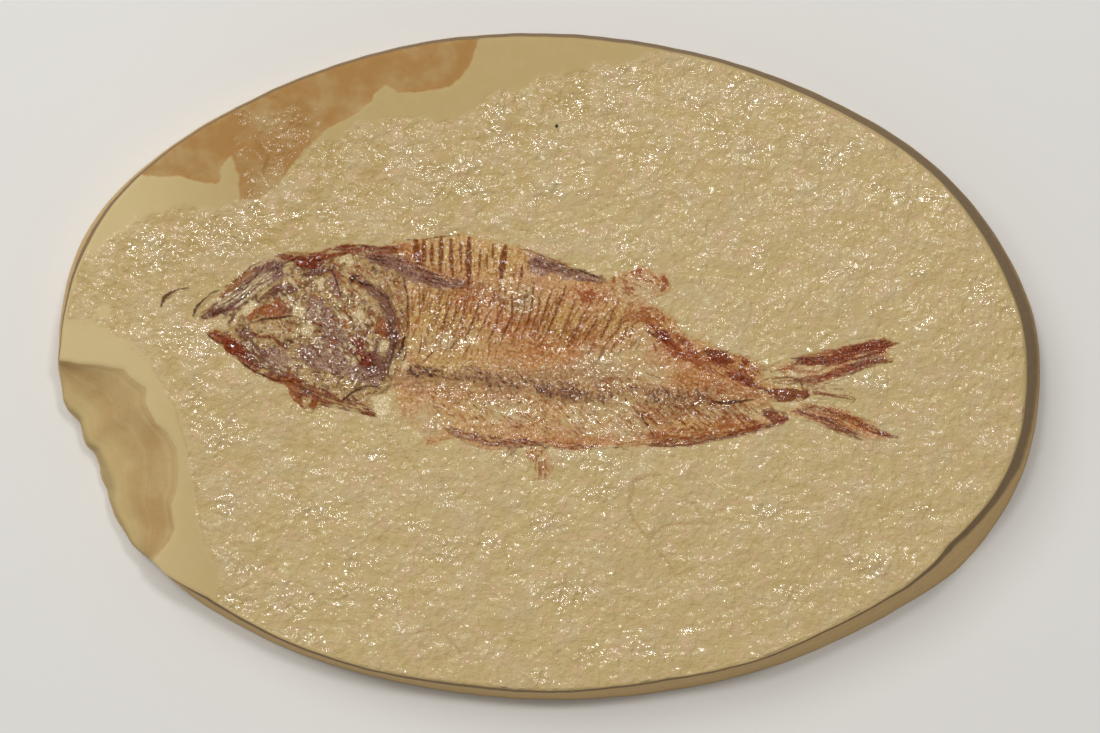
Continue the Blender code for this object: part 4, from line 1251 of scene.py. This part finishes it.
def close_below(mesh):
    """Close a sheet with sides that go down to the depth of the pieces, and with a flat underside."""
    build = bmesh.new()
    build.from_mesh(mesh)
    rim = [side for side in build.edges if side.is_boundary]
    sides = bmesh.ops.extrude_edge_only(build, edges=rim)["geom"]
    foot = [element for element in sides if isinstance(element, bmesh.types.BMVert)]
    for vertex in foot:
        vertex.co.z = FACE - PATCH_DEPTH
    foot_edges = [element for element in sides if isinstance(element, bmesh.types.BMEdge)]
    bmesh.ops.triangle_fill(build, edges=foot_edges, use_beauty=False, normal=Vector((0, 0, -1)))
    bmesh.ops.recalc_face_normals(build, faces=build.faces)
    build.to_mesh(mesh)
    build.free()


def make_patch(number, material):
    """One bone or fin: a fine relief over its outline, closed below in the bed of the stone."""
    name, node, slot, outline, spacing, relief = PATCHES[number]
    corners = np.array(outline, float)
    low, high = corners.min(0) - PATCH_MARGIN, corners.max(0) + PATCH_MARGIN
    grid_x, grid_y = np.meshgrid(*[np.arange(a, b + spacing, spacing) for a, b in zip(low, high)])
    points = np.column_stack([grid_x.ravel(), grid_y.ravel()])
    waver = PATCH_WAVER * fractal(points, 6.0, 301, 2)
    edge = signed_distance(points, outline) + waver
    covered = area_field(points, OUTLINES[:number]) + waver
    inside = ((edge < SKIRT) & (covered > TUCK)).reshape(grid_x.shape)
    kept = clean_cells(inside[:-1, :-1] & inside[1:, :-1] & inside[:-1, 1:] & inside[1:, 1:])
    index = np.arange(len(points)).reshape(grid_x.shape)
    quads = np.stack([index[:-1, :-1], index[1:, :-1], index[1:, 1:], index[:-1, 1:]], axis=-1)[kept]
    used, inverse = np.unique(quads, return_inverse=True)
    points, waver, covered = points[used], waver[used], covered[used]
    shore = area_field(points, OUTLINES) + waver

    fields = fossil_fields(points)
    shine = varnish(points)
    height = face_height(points, shine) + relief(points, fields) * smooth(0.6, -3.0, shore)
    height -= 0.03 * MM * smooth(-2.0, 0.0, shore)
    height -= 0.30 * MM * smooth(0.4, SKIRT, shore)
    height -= 0.35 * MM * smooth(0.2, -1.4, covered)
    fields.update(strata=np.zeros(len(points)), wall=np.zeros(len(points)), varnish=shine)
    fields["sheet"] = np.full(len(points), REACH)
    mesh = painted_mesh(name, points, height, inverse.reshape(-1, 4).tolist(), fields)
    close_below(mesh)
    add_piece(mesh, node, material)


def make_fossil():
    """Every piece of the fish, each with the material of its slot."""
    materials = {}
    for number, (_, _, slot, *_) in enumerate(PATCHES):
        if slot not in materials:
            materials[slot] = FossilShader("fossil_" + slot).material
        make_patch(number, materials[slot])


# Floor, lights and camera

FLOOR_SIZE = 3.0
SENSOR = 36.0
WORLD_COLOUR = (1.0, 0.98, 0.95, 1.0)
WORLD_STRENGTH = 0.30

# Lamps: name, place, size, power and whether the varnish mirrors them
LAMPS = [
    ("soft_key", (-0.38, 0.40, 0.78), 0.50, 3.6, False),
    ("glint_lamp_back", (0.09, 0.15, 0.68), 0.075, 1.05, True),
    ("glint_lamp_left", (-0.17, 0.15, 0.68), 0.075, 1.05, True),
]


def make_stage():
    """A plain pale floor under the slab."""
    bpy.ops.mesh.primitive_plane_add(size=FLOOR_SIZE, location=(0.0, 0.0, 0.0))
    floor = bpy.context.object
    floor.name = "floor"
    shader = Shader("pale_floor")
    tone = shader.mix(shader.noise(60.0, 2.0), FLOOR_GREY, FLOOR_WHITE)
    shader.put(shader.principled.inputs["Base Color"], tone)
    shader.principled.inputs["Roughness"].default_value = 0.8
    floor.data.materials.append(shader.material)


def make_lights():
    """A soft key from the upper left, two small lamps that the varnish glints in, and a dim world."""
    for name, place, size, power, mirrored in LAMPS:
        data = bpy.data.lights.new(name, "AREA")
        data.size = size
        data.energy = power
        light = bpy.data.objects.new(name, data)
        light.location = place
        look = Vector((0.0, 0.0, FACE)) - Vector(place)
        light.rotation_euler = look.to_track_quat("-Z", "Y").to_euler()
        light.visible_glossy = mirrored
        bpy.context.scene.collection.objects.link(light)
    world = bpy.data.worlds.new("studio")
    world.use_nodes = True
    background = world.node_tree.nodes["Background"]
    background.inputs["Color"].default_value = WORLD_COLOUR
    background.inputs["Strength"].default_value = WORLD_STRENGTH
    world.cycles_visibility.glossy = False
    bpy.context.scene.world = world


def make_camera():
    """The camera looks straight down, so that the face fills the frame as in the photograph."""
    data = bpy.data.cameras.new("camera")
    data.sensor_width = SENSOR
    data.lens = SENSOR * CAMERA_HEIGHT / (PHOTO_WIDTH * PIXEL)
    data.clip_start, data.clip_end = 0.01, 10.0
    camera = bpy.data.objects.new("camera", data)
    spot = (np.array([PHOTO_WIDTH / 2, PHOTO_HEIGHT / 2]) - MIDDLE) * PIXEL
    camera.location = (spot[0], -spot[1], FACE + CAMERA_HEIGHT)
    bpy.context.scene.collection.objects.link(camera)
    bpy.context.scene.camera = camera


make_slab()
make_fossil()
make_stage()
make_lights()
make_camera()
bpy.context.scene.view_settings.view_transform = "Standard"
